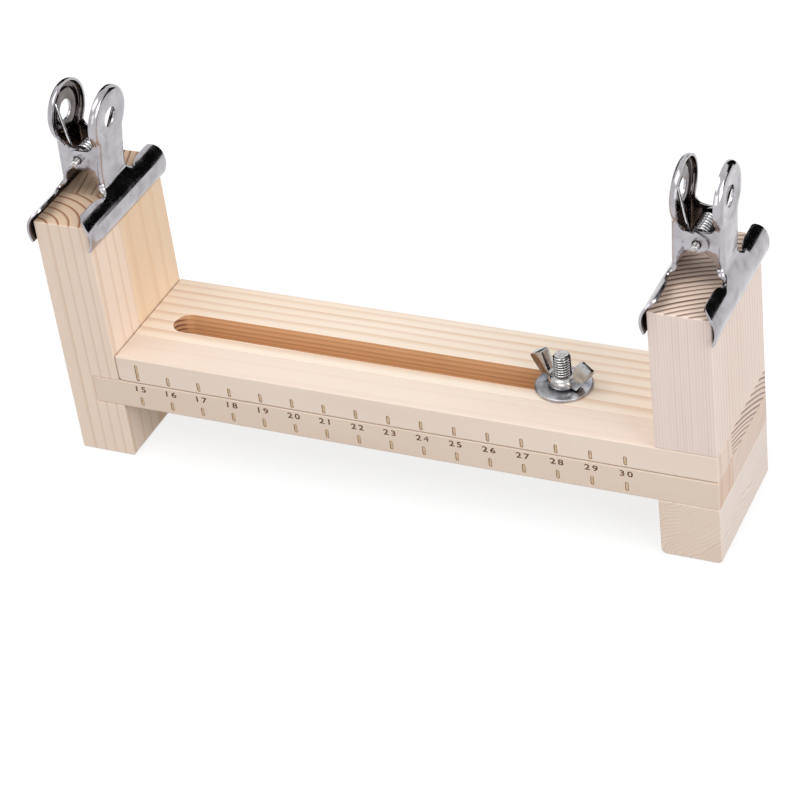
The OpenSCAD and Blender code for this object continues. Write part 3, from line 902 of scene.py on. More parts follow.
def make_upper_strip():
    """The plain strip glued to the sliding board, with the upper marks."""
    r = STRIP_ROUND
    foot = strip_low.z + SEAM_GAP
    outline = arc((strip_low.x + r, foot + r), r, 180, 270, 8) + [
        (strip_high.x, foot), (strip_high.x, strip_high.z), (strip_low.x, strip_high.z)]
    strip = new_object("upper_rule_strip_wood", prism(outline, "Y", strip_low.y, strip_high.y),
                       upper_strip_wood)
    ease_edges(strip, STRIP_EASED, 2)
    lengths = [INDEX_LENGTH if n == FIRST_NUMBER else MARK_LENGTH for n in numbers]
    marks = [(mark_places[n], strip_low.z + UP_MARK_ABOVE_SEAM + length / 2, length)
             for n, length in zip(numbers, lengths)]
    cut_marks(strip, marks, strip_low.y)
    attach(strip, "slide")
    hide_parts("upper_rule_strip")
    return strip


def make_lower_strip():
    """The plain strip glued to the fixed board, with the numbers and the lower marks."""
    outline = [(plain_low.x, plain_low.z), (plain_high.x, plain_low.z), (plain_high.x, plain_high.z),
               (plain_low.x, plain_high.z)]
    strip = new_object("lower_rule_strip_wood", prism(outline, "Y", plain_low.y, plain_high.y),
                       lower_strip_wood)
    ease_edges(strip, STRIP_EASED, 2)
    marks = [(x, plain_high.z - LOW_MARK_BELOW_SEAM, MARK_LENGTH) for x in mark_places.values()]
    cut_marks(strip, marks, plain_low.y)
    cut_numbers(strip, plain_low.y)
    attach(strip, "base")
    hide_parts("lower_rule_strip")
    return strip


upper_strip = make_upper_strip()
lower_strip = make_lower_strip()
print("strips", len(upper_strip.data.polygons), len(lower_strip.data.polygons), "faces")

# %% [markdown]
# ## Metal finishes
# Four finishes: bright nickel plate on the clips, dull brushed zinc on the washer, cast zinc on
# the wing nut and rolled zinc on the bolt and screws. All are metallic. What sets them apart is
# their roughness, how uneven it is and the small marks that handling leaves.

# %% The handled metal group and its finishes


def handled_metal_group():
    """Cloudy plating, fine brushing and scattered pits: a colour, a roughness and a height."""
    tree, given, made = new_group(
        "Handled metal",
        {
            "Bright Colour": (0.8, 0.8, 0.8, 1.0), "Dull Colour": (0.5, 0.5, 0.5, 1.0), "Cloud Scale": 300.0,
            "Smooth Roughness": 0.1, "Dull Roughness": 0.3, "Brush Scale": 2500.0, "Brushing": 0.1,
            "Brush Stretch": [1.0, 1.0, 0.05],
        },
        {"Colour": (), "Roughness": 0.0, "Height": 0.0},
    )
    place = add(tree, "ShaderNodeTexCoord").outputs["Object"]
    cloud = add(tree, "ShaderNodeTexNoise", {"Vector": place, "Scale": given["Cloud Scale"], "Detail": 3.0})
    share = ramp(tree, cloud.outputs["Fac"], 0.35, 0.75)
    stretched = vectors(tree, "MULTIPLY", place, given["Brush Stretch"])
    brush = add(tree, "ShaderNodeTexNoise", {"Vector": stretched, "Scale": given["Brush Scale"], "Detail": 2.0})
    streak = maths(tree, "MULTIPLY", maths(tree, "SUBTRACT", brush.outputs["Fac"], 0.5), given["Brushing"])
    roughness = add(tree, "ShaderNodeMix", data_type="FLOAT")
    for socket, value in ((0, share), (2, given["Smooth Roughness"]), (3, given["Dull Roughness"])):
        tree.links.new(value, roughness.inputs[socket])
    tree.links.new(mix(tree, share, given["Bright Colour"], given["Dull Colour"]), made.inputs["Colour"])
    tree.links.new(maths(tree, "ADD", roughness.outputs[0], streak), made.inputs["Roughness"])
    tree.links.new(brush.outputs["Fac"], made.inputs["Height"])
    return tree


METAL = handled_metal_group()


def metal_material(name, relief=0.0, **values):
    """A plated finish from the handled metal group."""
    material, tree, shader = new_material(name, Metallic=1.0)
    finish = place_group(tree, METAL, {title.replace("_", " "): value for title, value in values.items()})
    tree.links.new(finish.outputs["Colour"], shader.inputs["Base Color"])
    tree.links.new(finish.outputs["Roughness"], shader.inputs["Roughness"])
    if relief:
        bump = add(tree, "ShaderNodeBump", {"Height": finish.outputs["Height"], "Distance": relief,
                                            "Strength": 0.6})
        tree.links.new(bump.outputs["Normal"], shader.inputs["Normal"])
    return material


nickel = metal_material(
    "bright_nickel", Bright_Colour=colour(184, 181, 186), Dull_Colour=colour(162, 158, 162),
    Cloud_Scale=220.0, Smooth_Roughness=0.09, Dull_Roughness=0.2, Brush_Scale=3000.0, Brushing=0.05)
# A much darker nickel for the inner faces of the jaws: painted shade for the dark inside of the clip.
painted_shade_nickel = metal_material(
    "painted_shade_nickel", Bright_Colour=colour(118, 111, 110), Dull_Colour=colour(80, 73, 71),
    Cloud_Scale=260.0, Smooth_Roughness=0.1, Dull_Roughness=0.2, Brush_Scale=3000.0, Brushing=0.05)
pin_nickel = metal_material(
    "pin_nickel", Bright_Colour=colour(206, 204, 204), Dull_Colour=colour(160, 156, 152),
    Cloud_Scale=900.0, Smooth_Roughness=0.16, Dull_Roughness=0.35, Brush_Scale=4000.0, Brushing=0.1)
spring_steel = metal_material(
    "drawn_wire", Bright_Colour=colour(216, 216, 218), Dull_Colour=colour(180, 180, 184),
    Cloud_Scale=700.0, Smooth_Roughness=0.12, Dull_Roughness=0.25, Brush_Scale=4000.0, Brushing=0.08)
bolt_zinc = metal_material(
    "rolled_zinc", Bright_Colour=colour(206, 203, 202), Dull_Colour=colour(160, 157, 156),
    Cloud_Scale=900.0, Smooth_Roughness=0.08, Dull_Roughness=0.16, Brush_Scale=4000.0, Brushing=0.05)
nut_zinc = metal_material(
    "cast_zinc", Bright_Colour=colour(190, 189, 188), Dull_Colour=colour(150, 149, 148),
    Cloud_Scale=500.0, Smooth_Roughness=0.1, Dull_Roughness=0.2, Brush_Scale=1100.0, Brushing=0.1,
    Brush_Stretch=[1.0, 1.0, 1.0], relief=0.00006)
washer_zinc = metal_material(
    "dull_zinc", Bright_Colour=colour(186, 186, 190), Dull_Colour=colour(120, 122, 132),
    Cloud_Scale=260.0, Smooth_Roughness=0.24, Dull_Roughness=0.36, Brush_Scale=3000.0, Brushing=0.15)
screw_zinc = metal_material(
    "screw_zinc", Bright_Colour=colour(206, 202, 192), Dull_Colour=colour(160, 156, 148),
    Cloud_Scale=600.0, Smooth_Roughness=0.2, Dull_Roughness=0.4, Brush_Scale=3000.0, Brushing=0.1)

for node in ("foot_screws", "right_post_screws"):
    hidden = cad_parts[node]
    hidden.data.materials.clear()
    hidden.data.materials.append(screw_zinc)
print("metal group with", len(METAL.nodes), "nodes")

# %% [markdown]
# ## The clamp
# The bolt comes up through the slot. Its rolled thread is modelled as one screw surface: the
# radius of each point follows its height and its angle, so the crest climbs one pitch a turn.

# %% Bolt
washer_low, washer_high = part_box("clamp_washer")
nut_low, nut_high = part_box("wing_nut")
BOLT_R = 2.5 * MM
THREAD_PITCH = 0.8 * MM
THREAD_DEPTH = 0.52 * MM
GROOVE_SHADE = 0.12
HEAD_HEIGHT = 3.5 * MM


def darken_grooves(material):
    """Painted shade in the thread: the plating is darker the nearer it lies to the thread's root."""
    tree = material.node_tree
    shader = tree.nodes["Principled BSDF"]
    plating = shader.inputs["Base Color"].links[0].from_socket
    place = add(tree, "ShaderNodeTexCoord").outputs["Object"]
    flat = vectors(tree, "MULTIPLY", vectors(tree, "SUBTRACT", place, (bolt_x, bolt_y, 0)), (1, 1, 0))
    radius = add(tree, "ShaderNodeVectorMath", {0: flat}, operation="LENGTH").outputs["Value"]
    # Painted shade: full colour on the crests, GROOVE_SHADE of it at the root; the flat top end keeps its colour.
    unshaded = ramp(tree, radius, BOLT_R - THREAD_DEPTH, BOLT_R - 0.1 * MM, GROOVE_SHADE, 1.0)
    end = add(tree, "ShaderNodeSeparateXYZ", {0: add(tree, "ShaderNodeTexCoord").outputs["Normal"]})
    unshaded = maths(tree, "MAXIMUM", unshaded, ramp(tree, end.outputs["Z"], 0.9, 0.95))
    shaded = add(tree, "ShaderNodeVectorMath", {0: plating, "Scale": unshaded}, operation="SCALE")
    tree.links.new(shaded.outputs["Vector"], shader.inputs["Base Color"])


def thread_radius(turns):
    """The radius at a number of turns along the thread: a rounded root and a narrow crest."""
    share = turns - math.floor(turns)
    depth = min(1.0, 1.25 * abs(2 * share - 1))
    return BOLT_R - THREAD_DEPTH * depth


def make_bolt():
    """The threaded bolt with its hexagon head and a chamfered, slightly domed end."""
    around = 48
    step = THREAD_PITCH / 12
    thread_low = washer_low.z - 1.5 * MM
    top = bolt_high.z
    chamfer = 0.5 * MM
    rows = int((top - thread_low) / step)
    bm = bmesh.new()
    rings = []
    for height, radius in ((bolt_low.z + HEAD_HEIGHT, BOLT_R), (thread_low, BOLT_R)):
        rings.append([(height, radius)] * around)
    for row in range(rows + 1):
        height = thread_low + (top - thread_low) * row / rows
        limit = BOLT_R - max(0.0, height - (top - chamfer))
        ring = []
        for i in range(around):
            turns = height / THREAD_PITCH - i / around
            ring.append((height, min(thread_radius(turns), limit)))
        rings.append(ring)
    dome = 0.12 * MM
    rings.append([(top - dome / 2, BOLT_R * 0.72)] * around)
    rings.append([(top - dome, BOLT_R * 0.35)] * around)
    made = []
    for ring in rings:
        made.append([
            bm.verts.new((bolt_x + r * math.cos(math.tau * i / around),
                          bolt_y + r * math.sin(math.tau * i / around), h))
            for i, (h, r) in enumerate(ring)
        ])
    for low, high in zip(made, made[1:]):
        for i in range(around):
            j = (i + 1) % around
            bm.faces.new((low[i], low[j], high[j], high[i]))
    bm.faces.new(made[0][::-1])
    bm.faces.new(made[-1])
    head = prism(hexagon((bolt_x, bolt_y), HEAD_FLATS - 0.1 * MM), "Z", bolt_low.z,
                 bolt_low.z + HEAD_HEIGHT)
    bolt = new_object("clamp_bolt_steel", merged([bm, head]), bolt_zinc)
    smooth(bolt, 50)
    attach(bolt, "base")
    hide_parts("clamp_bolt")
    return bolt


darken_grooves(bolt_zinc)
bolt = make_bolt()
print("bolt", len(bolt.data.polygons), "faces")

# %% Washer


def ring_solid(profile, steps, centre):
    """A ring turned from a closed (height, radius) profile."""
    bm = bmesh.new()
    rings = []
    for i in range(steps):
        a = math.tau * i / steps
        rings.append([
            bm.verts.new((centre[0] + r * math.cos(a), centre[1] + r * math.sin(a), h)) for h, r in profile
        ])
    count = len(profile)
    for i in range(steps):
        near, far = rings[i], rings[(i + 1) % steps]
        for j in range(count):
            k = (j + 1) % count
            bm.faces.new((near[j], far[j], far[k], near[k]))
    bmesh.ops.recalc_face_normals(bm, faces=bm.faces)
    return bm


def make_washer():
    """A stamped washer: rounded on its upper rim, sharper below."""
    outer = (washer_high.x - washer_low.x) / 2
    inner = BOLT_R + 0.12 * MM
    low, high = washer_low.z, washer_high.z
    r = 0.3 * MM
    edge = 0.12 * MM
    profile = [(low, inner + edge), (low, outer - edge), (low + edge, outer), (high - r, outer)]
    profile += [(high - r + r * math.sin(math.radians(a)), outer - r + r * math.cos(math.radians(a)))
                for a in (30, 60, 90)]
    profile += [(high, inner + r), (high - r * 0.3, inner + r * 0.3), (high - r, inner), (low + edge, inner)]
    washer = new_object("clamp_washer_steel", ring_solid(profile, 96, (bolt_x, bolt_y)), washer_zinc)
    smooth(washer, 40)
    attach(washer, "washer")
    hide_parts("clamp_washer")
    return washer


washer = make_washer()
print("washer", len(washer.data.polygons), "faces")

# %% [markdown]
# ## The wing nut
# A wing nut is a zinc casting: a bulging hub and two blocky wings that lean outward and end flat.
# The hub and the wings are joined as solids, and a bevel then rounds every edge as a mould does.

# %% Wing nut
WING_TURN = math.radians(-18)
WING_SPAN = 20.0 * MM
WING_THICK = 3.0 * MM
HUB_R = 4.35 * MM
HUB_HEIGHT = 3.3 * MM


def wing_outline():
    """One wing seen from the front, from the hub outward, in height above the nut's base."""
    height = nut_high.z - nut_low.z
    end = WING_SPAN / 2
    return [
        (BOLT_R + 0.5 * MM, 0.4 * MM), (HUB_R + 1.2 * MM, 0.4 * MM), (end, height - 2.6 * MM),
        (end, height - 1.8 * MM), (end - 3.2 * MM, height - 0.1 * MM), (end - 4.0 * MM, height),
        (HUB_R - 0.2 * MM, HUB_HEIGHT), (BOLT_R + 0.5 * MM, HUB_HEIGHT - 0.4 * MM),
    ]


def make_wing_nut():
    """Hub and wings as one casting with a bore."""
    base = nut_low.z
    hub_profile = [
        (0, HUB_R - 0.7 * MM), (0.5 * MM, HUB_R - 0.1 * MM), (1.2 * MM, HUB_R), (2.0 * MM, HUB_R - 0.1 * MM),
        (2.6 * MM, HUB_R - 0.4 * MM), (3.0 * MM, HUB_R - 0.9 * MM), (HUB_HEIGHT, HUB_R - 1.5 * MM),
    ]
    nut = new_object("wing_nut_zinc", turned(hub_profile, 48), nut_zinc)
    for turn in (0, 180):
        wing = new_object("wing", prism(wing_outline(), "Y", -WING_THICK / 2, WING_THICK / 2), nut_zinc)
        wing.data.transform(Matrix.Rotation(math.radians(turn), 4, "Z"))
        join = nut.modifiers.new("join", "BOOLEAN")
        join.operation = "UNION"
        join.solver = "EXACT"
        join.object = wing
        apply_modifiers(nut)
        bpy.data.objects.remove(wing)
    bore = turned([(-MM, BOLT_R + 0.06 * MM), (HUB_HEIGHT + 2 * MM, BOLT_R + 0.06 * MM)], 48)
    cut_away(nut, new_object("bore_cutter", bore, nut_zinc))
    ease_edges(nut, 0.3 * MM, 3)
    nut.data.transform(Matrix.Translation((bolt_x, bolt_y, base)) @ Matrix.Rotation(WING_TURN, 4, "Z"))
    smooth(nut, 30)
    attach(nut, "nut")
    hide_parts("wing_nut")
    return nut


wing_nut = make_wing_nut()
print("wing nut", len(wing_nut.data.polygons), "faces")

# %% [markdown]
# ## The spring clips
# Each clip is two jaws pressed from a strip of bright nickel-plated steel. A jaw starts as a flat
# outline: a wide blade, a neck and a round loop with a hole. Pressing bends the blade into a
# bulge that grips the post, and folds the edge of the neck and the loop inward. On the neck the
# fold grows into an ear that holds the pivot pin.
# The jaw is built the same way, in millimetres from the post's top. The section comes first: it
# says how far out the sheet lies at each height.

# %% The section of a jaw
SHEET = 0.7
CLIP_HALF = 22.5
LIP = 6.4
LIP_GAP = 0.1
BULGE_R = 6.8
BULGE_LOW = math.radians(31)
BULGE_MID = BULGE_R + SHEET / 2
FLARE = math.radians(32)
WALL = 6.4 + SHEET / 2
BEND_MID = 3.2 - SHEET / 2
CLIP_LEAN = math.radians(2.5)
CURL_FROM = 7.6
CURL_FULL = 11.0

post_half = (post_high.x - post_low.x) / 2 / MM
BULGE_U = post_half + LIP_GAP - BULGE_R * math.cos(BULGE_LOW)
BULGE_Z = -LIP + BULGE_R * math.sin(BULGE_LOW)
FLARE_U = BULGE_U + BULGE_MID * math.cos(FLARE)
FLARE_Z = BULGE_Z + BULGE_MID * math.sin(FLARE)
flare_length = (FLARE_U - WALL - BEND_MID * (1 - math.cos(FLARE))) / math.sin(FLARE)
BEND_LOW = FLARE_Z + flare_length * math.cos(FLARE)
BEND_Z = BEND_LOW + BEND_MID * math.sin(FLARE)


def ease(share):
    """A share from 0 to 1 with a soft start and a soft end."""
    share = min(1.0, max(0.0, share))
    return share * share * (3 - 2 * share)


def wing_section(z):
    """Towards its ends the blade goes on curling in, as the bulge does."""
    return BULGE_U + math.sqrt(max(0.0, BULGE_MID ** 2 - (z - BULGE_Z) ** 2))


def neck_section(z):
    """In the middle the bulge runs into a straight flare, a tight bend and the upright wall."""
    if z <= FLARE_Z:
        return wing_section(z)
    if z <= BEND_LOW:
        return FLARE_U - (z - FLARE_Z) * math.tan(FLARE)
    if z <= BEND_Z:
        return WALL + BEND_MID - math.sqrt(max(0.0, BEND_MID ** 2 - (z - BEND_Z) ** 2))
    return WALL


def sheet_place(y, z):
    """How far out the sheet's middle lies, at a place across the jaw and a height."""
    share = ease((abs(y) - CURL_FROM) / (CURL_FULL - CURL_FROM))
    return (1 - share) * neck_section(z) + (share * wing_section(z) if share else 0.0)


print("bulge reaches", round(BULGE_U + BULGE_MID, 2), "wall at", round(WALL, 2), "from", round(BEND_Z, 2), "mm up")

# %% [markdown]
# The folded edge is walked from the notch beside one wing, up the neck, over the loop, and down
# to the other notch. A step holds a place on the outline, the way its edge faces, and how far it
# is folded. The fold opens out in the notches, where the neck runs into the wings. Rows are the
# heights at which the sheet is divided, so the walk has a step on each row.

# %% The walk along the folded edge
WING_TOP = 3.5
WING_R = 3.0
WING_DIP = 0.4
DIP_LENGTH = 4.5
NOTCH_R = 2.2 + SHEET / 2
NOTCH_Z = WING_TOP - WING_DIP
NECK_FOOT = NOTCH_Z + NOTCH_R
LOOP_R = 9.2 - SHEET / 2
LOOP_Z = 24.8
HOLE_R = 3.0
THROAT_R = 3.0
FOLD_R = 1.25
FOLD_STEPS = 5
RIM_DEPTH = 0.6
LEG_DEPTH = 0.3
DISH_DEPTH = 0.35
DISH_FLAT = 5.6
DISH_EDGE = 6.9
DISH_SIDES = 60



def fold_radius(share):
    """The fold is tightest where it runs out."""
    return FOLD_R * (0.4 + 0.6 * share)


def notch_turn(drop):
    """How far round the notch the fold's inner line has dropped that far below the neck's foot."""
    low, high = 0.0, math.pi / 2
    for _ in range(40):
        turn = (low + high) / 2
        share = ease(1 - turn / (math.pi / 2))
        if (NOTCH_R + fold_radius(share)) * math.sin(turn) < drop:
            low = turn
        else:
            high = turn
    return high


ROWS = [BULGE_Z + BULGE_MID * math.sin(math.radians(a)) for a in range(-28, 64, 4)]
ROWS += [NOTCH_Z - fold_radius(0) + 0.1] + [BEND_Z - BEND_MID * math.sin(math.radians(a)) for a in range(32, -1, -4)]
ROWS.sort()


def edge_walk(neck):
    """Steps of (place, facing, share folded) in the flat (y, z) outline; neck is a half width."""
    half = neck - SHEET / 2
    notch = []
    lowest = NOTCH_Z - fold_radius(0)
    for z in [lowest] + [row for row in ROWS if lowest < row < NECK_FOOT]:
        turn = notch_turn(NECK_FOOT - z)
        facing = (math.cos(turn), math.sin(turn))
        place = (half + NOTCH_R * (1 - facing[0]), NECK_FOOT - NOTCH_R * facing[1])
        notch.append((place, facing, ease(1 - turn / (math.pi / 2))))
    throat = half + THROAT_R
    throat_z = LOOP_Z - math.sqrt((LOOP_R + THROAT_R) ** 2 - throat ** 2)
    turn = math.degrees(math.atan2(LOOP_Z - throat_z, throat))
    heights = [NECK_FOOT, BEND_Z] + [z for z in range(7, 20, 2) if z < throat_z - 0.5]
    side = [((half, z), (1.0, 0.0), 1.0) for z in heights]
    for y, z in arc((throat, throat_z), THROAT_R, 180, 180 - turn, 7):
        side.append(((y, z), ((throat - y) / THROAT_R, (throat_z - z) / THROAT_R), 1.0))
    loop = [((y, z), (y / LOOP_R, (z - LOOP_Z) / LOOP_R), 1.0)
            for y, z in arc((0, LOOP_Z), LOOP_R, -turn, 180 + turn, 72)[1:-1]]
    near = notch + side
    far = [((-y, z), (-facing_y, facing_z), share) for (y, z), (facing_y, facing_z), share in reversed(near)]
    return near + loop + far, len(notch)


def fold_point(step, part, depth):
    """A point of the fold: part 0 is where it leaves the face, part 1 is its end, depth runs on."""
    (y, z), (facing_y, facing_z), share = step
    radius = fold_radius(share)
    y -= facing_y * radius
    z -= facing_z * radius
    slope = (neck_section(z + 0.01) - neck_section(z - 0.01)) / 0.02
    out = Vector((1, 0, -slope)).normalized()
    side = Vector((slope * facing_z, facing_y, facing_z))
    turn = math.pi / 2 * share * part
    across = radius * math.sin(turn) + depth * math.cos(turn)
    inward = radius * (1 - math.cos(turn)) + depth * math.sin(turn)
    return Vector((sheet_place(y, z), y, z)) + side * across - out * inward


print("rows", len(ROWS), "steps round the wider neck", len(edge_walk(7.2)[0]))

# %% [markdown]
# An ear is flat. Its outer edge is the end of the fold. Its inner edge runs from the loop's rim
# round the pin's end and back under the pin as a squarish arch, down to the leg's foot.

# %% The ear's inner edge
PIN_Z = 13.2
EAR_R = 3.1
PIN_BORE_R = 1.35
EAR_TOP = [(4.6, 17.9), (4.2, 17.1), (3.4, 16.6), (2.4, 16.4), (1.2, 16.32)]
ARCH_HALF = 5.45
ARCH_LOW = 4.6
ARCH_POWER = 2 / 2.4


def ear_inner_edge():
    """Places (u, z) from the rim to the leg, where u is measured out from the post's middle."""
    rise = PIN_Z - EAR_R - ARCH_LOW
    arch = []
    for degrees in (78, 66, 54, 42, 30, 18, 8):
        a = math.radians(degrees)
        arch.append((ARCH_HALF * math.cos(a) ** ARCH_POWER, ARCH_LOW + rise * math.sin(a) ** ARCH_POWER))
    return EAR_TOP + arc((0, PIN_Z), EAR_R, 90, 270, 16) + arch


print("ear's inner edge has", len(ear_inner_edge()), "points")

# %% [markdown]
# The face of the jaw is one flat outline with the loop's hole in it. It is cut into rows, and
# each of its points is then pushed out to the section. The fold, the rim and the ears join it
# along the walk. Only at the very end does a Solidify modifier give the sheet its thickness, so
# that every bend keeps it.

# %% The jaw as a sheet without thickness


def fill_region(bm, outer, holes):
    """Fills a flat outline with holes."""
    edges = []
    for loop in [outer] + holes:
        for i, vert in enumerate(loop):
            pair = (vert, loop[(i + 1) % len(loop)])
            edges.append(bm.edges.get(pair) or bm.edges.new(pair))
    bmesh.ops.triangle_fill(bm, use_beauty=True, edges=edges)


def add_strip(bm, first, second):
    """Faces between two rows of points."""
    for i in range(len(first) - 1):
        bm.faces.new((first[i], first[i + 1], second[i + 1], second[i]))


def dish(y, z):
    """How far the disc round the hole is pressed in."""
    away = math.hypot(y, z - LOOP_Z)
    return DISH_DEPTH * ease((DISH_EDGE - away) / (DISH_EDGE - DISH_FLAT))


def add_face(bm, neck, walk):
    """The blade, the neck and the loop up to where the fold begins."""
    lip = BULGE_Z - BULGE_MID * math.sin(BULGE_LOW)
    notch_y = neck - SHEET / 2 + NOTCH_R
    half = [(CLIP_HALF, lip)] + arc((CLIP_HALF - WING_R, WING_TOP - WING_R), WING_R, 0, 90, 8)
    half += [(notch_y + DIP_LENGTH * i / 8, NOTCH_Z + WING_DIP * ease(i / 8)) for i in range(8, -1, -1)]
    inset = [(y - facing_y * fold_radius(share), z - facing_z * fold_radius(share))
             for (y, z), (facing_y, facing_z), share in walk]
    outline = half + inset + [(-y, z) for y, z in reversed(half)]
    flat = bmesh.new()
    outer = [flat.verts.new((0, y, z)) for y, z in outline]
    rings = []
    for radius in [DISH_EDGE + (DISH_FLAT - DISH_EDGE) * i / 5 for i in range(6)] + [HOLE_R]:
        ring = [flat.verts.new((0, y, z)) for y, z in arc((0, LOOP_Z), radius, 0, 360, DISH_SIDES)[:-1]]
        rings.append(ring + ring[:1])
    fill_region(flat, outer, [rings[0][:-1]])
    for wide, narrow in zip(rings, rings[1:]):
        add_strip(flat, wide, narrow)
    columns = [side * (CURL_FROM + (CURL_FULL - CURL_FROM) * i / 5) for side in (-1, 1) for i in range(6)]
    cuts = [((0, 0, z), (0, 0, 1)) for z in ROWS] + [((0, y, 0), (0, 1, 0)) for y in columns]
    for place, facing in cuts:
        low = [face for face in flat.faces if min(vert.co.z for vert in face.verts) < NECK_FOOT + 2]
        geom = list({part for face in low for part in list(face.verts) + list(face.edges)}) + low
        bmesh.ops.bisect_plane(flat, geom=geom, dist=0.0001, plane_co=place, plane_no=facing)
    for vert in flat.verts:
        vert.co.x = sheet_place(vert.co.y, vert.co.z) - dish(vert.co.y, vert.co.z)
    mesh = bpy.data.meshes.new("part")
    flat.to_mesh(mesh)
    flat.free()
    bm.from_mesh(mesh)
    bpy.data.meshes.remove(mesh)


def add_fold(bm, walk, foot):
    """The fold, the flange round the loop, the two ears, and the edges of the two notches."""
    rows = [[bm.verts.new(fold_point(step, part / FOLD_STEPS, 0)) for step in walk]
            for part in range(FOLD_STEPS + 1)]
    for near, far in zip(rows, rows[1:]):
        add_strip(bm, near, far)
    end = rows[-1]
    first = next(i for i, (place, _, _) in enumerate(walk) if place[1] > EAR_TOP[0][1] + 0.4)
    last = len(walk) - 1 - first
    rim = [bm.verts.new(fold_point(walk[i], 1, RIM_DEPTH)) for i in range(first, last + 1)]
    add_strip(bm, end[first:last + 1], rim)
    for steps, verts, corner in ((walk, end, rim[0]), (walk[::-1], end[::-1], rim[-1])):
        edge = [bm.verts.new(fold_point(step, 1, LEG_DEPTH * share + fold_radius(0) * (1 - share)))
                for step in steps[:foot + 1] for share in [step[2]]]
        add_strip(bm, verts[:foot + 1], edge)
        y = verts[foot].co.y
        inner = [bm.verts.new((u, y, z)) for u, z in ear_inner_edge()]
        bore = [bm.verts.new((u, y, z)) for u, z in arc((0, PIN_Z), PIN_BORE_R, 0, 360, 24)[:-1]]
        fill_region(bm, [corner] + inner + [edge[foot]] + verts[foot:first + 1], [bore])


print("jaw functions ready")

# %% [markdown]
# One jaw's ears lie inside the other's. In the photograph the left clip has its wider neck on the
# right jaw, and the right clip has it on the left jaw. Both clips lean a little to the right,
# about the line of their lips.

# %% The four jaws
NECKS = {
    ("left", "left"): 6.4, ("left", "right"): 7.2,
    ("right", "left"): 7.2, ("right", "right"): 6.4,
}
clips = {"left": (post_low.x + post_high.x) / 2, "right": (right_low.x + right_high.x) / 2}
LOOP_SPREAD = {("left", "right"): 1.6}
LEAN_FROM = 10.0


def spread_loop(bm, amount):
    """Leans the right loop out by an amount at its hole; what lies near the pin stays."""
    for vert in bm.verts:
        rise = max(0.0, vert.co.z - LEAN_FROM) / (LOOP_Z - LEAN_FROM)
        vert.co.x += amount * rise * ease((vert.co.x - 1.5) / 4)


def on_post(centre):
    """From a clip's own millimetres to the frame: it leans about the middle of its lips."""
    return (Matrix.Translation((centre, 0, post_high.z)) @ Matrix.Scale(MM, 4)
            @ Matrix.Translation((0, 0, -LIP)) @ Matrix.Rotation(CLIP_LEAN, 4, "Y")
            @ Matrix.Translation((0, 0, LIP)))


def make_jaw(clip_side, jaw_side):
    """One jaw: the left one is the mirror image of the right one."""
    bm = bmesh.new()
    neck = NECKS[clip_side, jaw_side]
    walk, foot = edge_walk(neck)
    add_fold(bm, walk, foot)
    add_face(bm, neck, walk)
    bmesh.ops.remove_doubles(bm, verts=bm.verts, dist=0.01)
    spread_loop(bm, LOOP_SPREAD.get((clip_side, jaw_side), 0.0))
    flip = 1 if jaw_side == "right" else -1
    bm.transform(on_post(clips[clip_side]) @ Matrix.Diagonal((flip, 1, 1, 1)))
    bmesh.ops.recalc_face_normals(bm, faces=bm.faces)
    outermost = max(bm.faces, key=lambda face: flip * face.calc_center_median().x)
    if flip * outermost.normal.x < 0:
        bmesh.ops.reverse_faces(bm, faces=bm.faces)
    node = f"{clip_side}_clip_{jaw_side}_jaw"
    jaw = new_object(node + "_sheet", bm, nickel, painted_shade_nickel)
    thick = jaw.modifiers.new("thickness", "SOLIDIFY")
    thick.thickness = SHEET * MM
    thick.offset = 0
    # The inner side of the sheet takes the second material, the darker nickel that paints the shade inside the clip.
    thick.material_offset = 1
    worn = jaw.modifiers.new("worn edge", "BEVEL")
    worn.width = 0.12 * MM
    worn.segments = 2
    worn.limit_method = "ANGLE"
    worn.angle_limit = math.radians(50)
    apply_modifiers(jaw)
    smooth(jaw, 40)
    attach(jaw, clip_side + ("_clip_lever" if jaw_side == "right" else "_clip"))
    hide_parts(node)
    return jaw


for clip_side, jaw_side in NECKS:
    jaw = make_jaw(clip_side, jaw_side)
    print(jaw.name, len(jaw.data.polygons), "faces")

# %% [markdown]
# ## Springs and pins
# The torsion spring is one wire: up along one jaw, round the pin, and up along the other jaw.
# Its line is a helix between two straight arms that leave it along its tangent. Squeezing the
# loops winds the coil up; here the wire stays one mesh fixed in the frame.

# %% Springs
WIRE_R = 0.45
COIL_R = 2.7
COIL_PITCH = 1.15
COILS = 7
ARM_LENGTH = 16.6
ARM_LEAN = math.radians(12.5)
COIL_STEPS = 20
WIRE_SIDES = 12
ARM_STEPS = 6


def spring_line():
    """The wire's middle line, from the front arm's tip to the back arm's tip."""
    turn = math.pi - 2 * ARM_LEAN + math.tau * COILS
    length = COIL_PITCH * turn / math.tau
    steps = round(turn / math.tau * COIL_STEPS)
    coil = []
    for i in range(steps + 1):
        angle = math.pi + ARM_LEAN + turn * i / steps
        coil.append(Vector((COIL_R * math.cos(angle), length * (i / steps - 0.5),
                            PIN_Z + COIL_R * math.sin(angle))))
    front = Vector((-math.sin(ARM_LEAN), 0, math.cos(ARM_LEAN))) * ARM_LENGTH
    back = Vector((math.sin(ARM_LEAN), 0, math.cos(ARM_LEAN))) * ARM_LENGTH
    return ([coil[0] + front * i / ARM_STEPS for i in range(ARM_STEPS, 0, -1)] + coil
            + [coil[-1] + back * i / ARM_STEPS for i in range(1, ARM_STEPS + 1)])


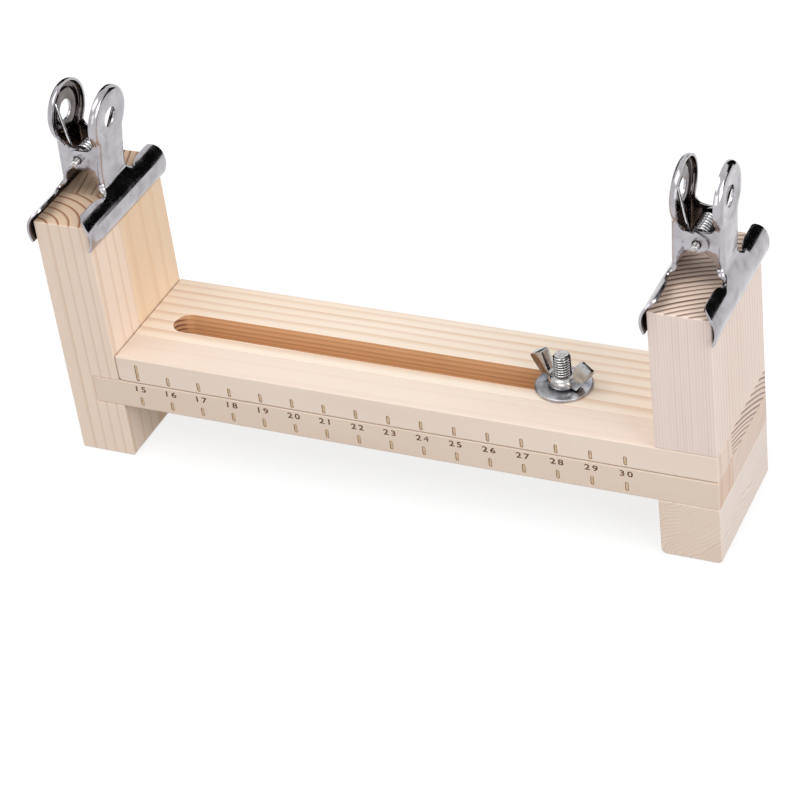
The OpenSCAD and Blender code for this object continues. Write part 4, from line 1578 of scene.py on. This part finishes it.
def wire_tube(line, radius):
    """A round wire along a line, with rounded ends."""
    bm = bmesh.new()
    tangents = [(line[min(i + 1, len(line) - 1)] - line[max(i - 1, 0)]).normalized() for i in range(len(line))]
    rows = [(point, tangent, radius) for point, tangent in zip(line, tangents)]
    for beyond, size in ((0.2, 0.85), (0.5, 0.5)):
        rows.insert(0, (line[0] - tangents[0] * radius * beyond, tangents[0], radius * size))
        rows.append((line[-1] + tangents[-1] * radius * beyond, tangents[-1], radius * size))
    rings = []
    for point, tangent, size in rows:
        normal = tangent.cross(Vector((0, 1, 0))).normalized()
        other = tangent.cross(normal)
        rings.append([
            bm.verts.new(point + size * (math.cos(math.tau * j / WIRE_SIDES) * normal
                                         + math.sin(math.tau * j / WIRE_SIDES) * other))
            for j in range(WIRE_SIDES)
        ])
    for near, far in zip(rings, rings[1:]):
        for j in range(WIRE_SIDES):
            k = (j + 1) % WIRE_SIDES
            bm.faces.new((near[j], near[k], far[k], far[j]))
    bm.faces.new(rings[0][::-1])
    bm.faces.new(rings[-1])
    bmesh.ops.recalc_face_normals(bm, faces=bm.faces)
    return bm


for clip_side, centre in clips.items():
    node = clip_side + "_clip_spring"
    bm = wire_tube(spring_line(), WIRE_R)
    spread_loop(bm, LOOP_SPREAD.get((clip_side, "right"), 0.0))
    bm.transform(on_post(centre))
    spring = new_object(node + "_wire", bm, spring_steel)
    smooth(spring, 60)
    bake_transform(spring)
    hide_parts(node)
    print(spring.name, len(spring.data.polygons), "faces")

# %% [markdown]
# The pins are cut from soft wire, so their ends are a little askew and rounded.

# %% Pins
PIN_R = 1.0
PIN_HALF = 9.9
PIN_ROUND = 0.25
PIN_SLANT = 0.5


def make_pin(clip_side, centre):
    """The pivot pin, turned about its own axis and then laid across the clip."""
    levels = [(-PIN_HALF, PIN_R - PIN_ROUND), (-PIN_HALF + 0.08, PIN_R - 0.1), (-PIN_HALF + PIN_ROUND, PIN_R)]
    levels += [(-height, radius) for height, radius in reversed(levels)]
    bm = turned(levels, 32)
    for vert in bm.verts:
        if abs(vert.co.z) > PIN_HALF - PIN_ROUND - 0.01:
            end = math.copysign(1, vert.co.z)
            vert.co.z -= end * PIN_SLANT * (vert.co.x + PIN_R) / (2 * PIN_R)
    bm.transform(on_post(centre) @ Matrix.Translation((0, 0, PIN_Z)) @ Matrix.Rotation(math.radians(90), 4, "X"))
    node = clip_side + "_clip_pin"
    pin = new_object(node + "_steel", bm, pin_nickel)
    smooth(pin, 40)
    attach(pin, clip_side + "_clip")
    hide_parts(node)
    return pin


for clip_side, centre in clips.items():
    print(make_pin(clip_side, centre).name)

# %% [markdown]
# ## The end

# %% Finish
print("jig built")
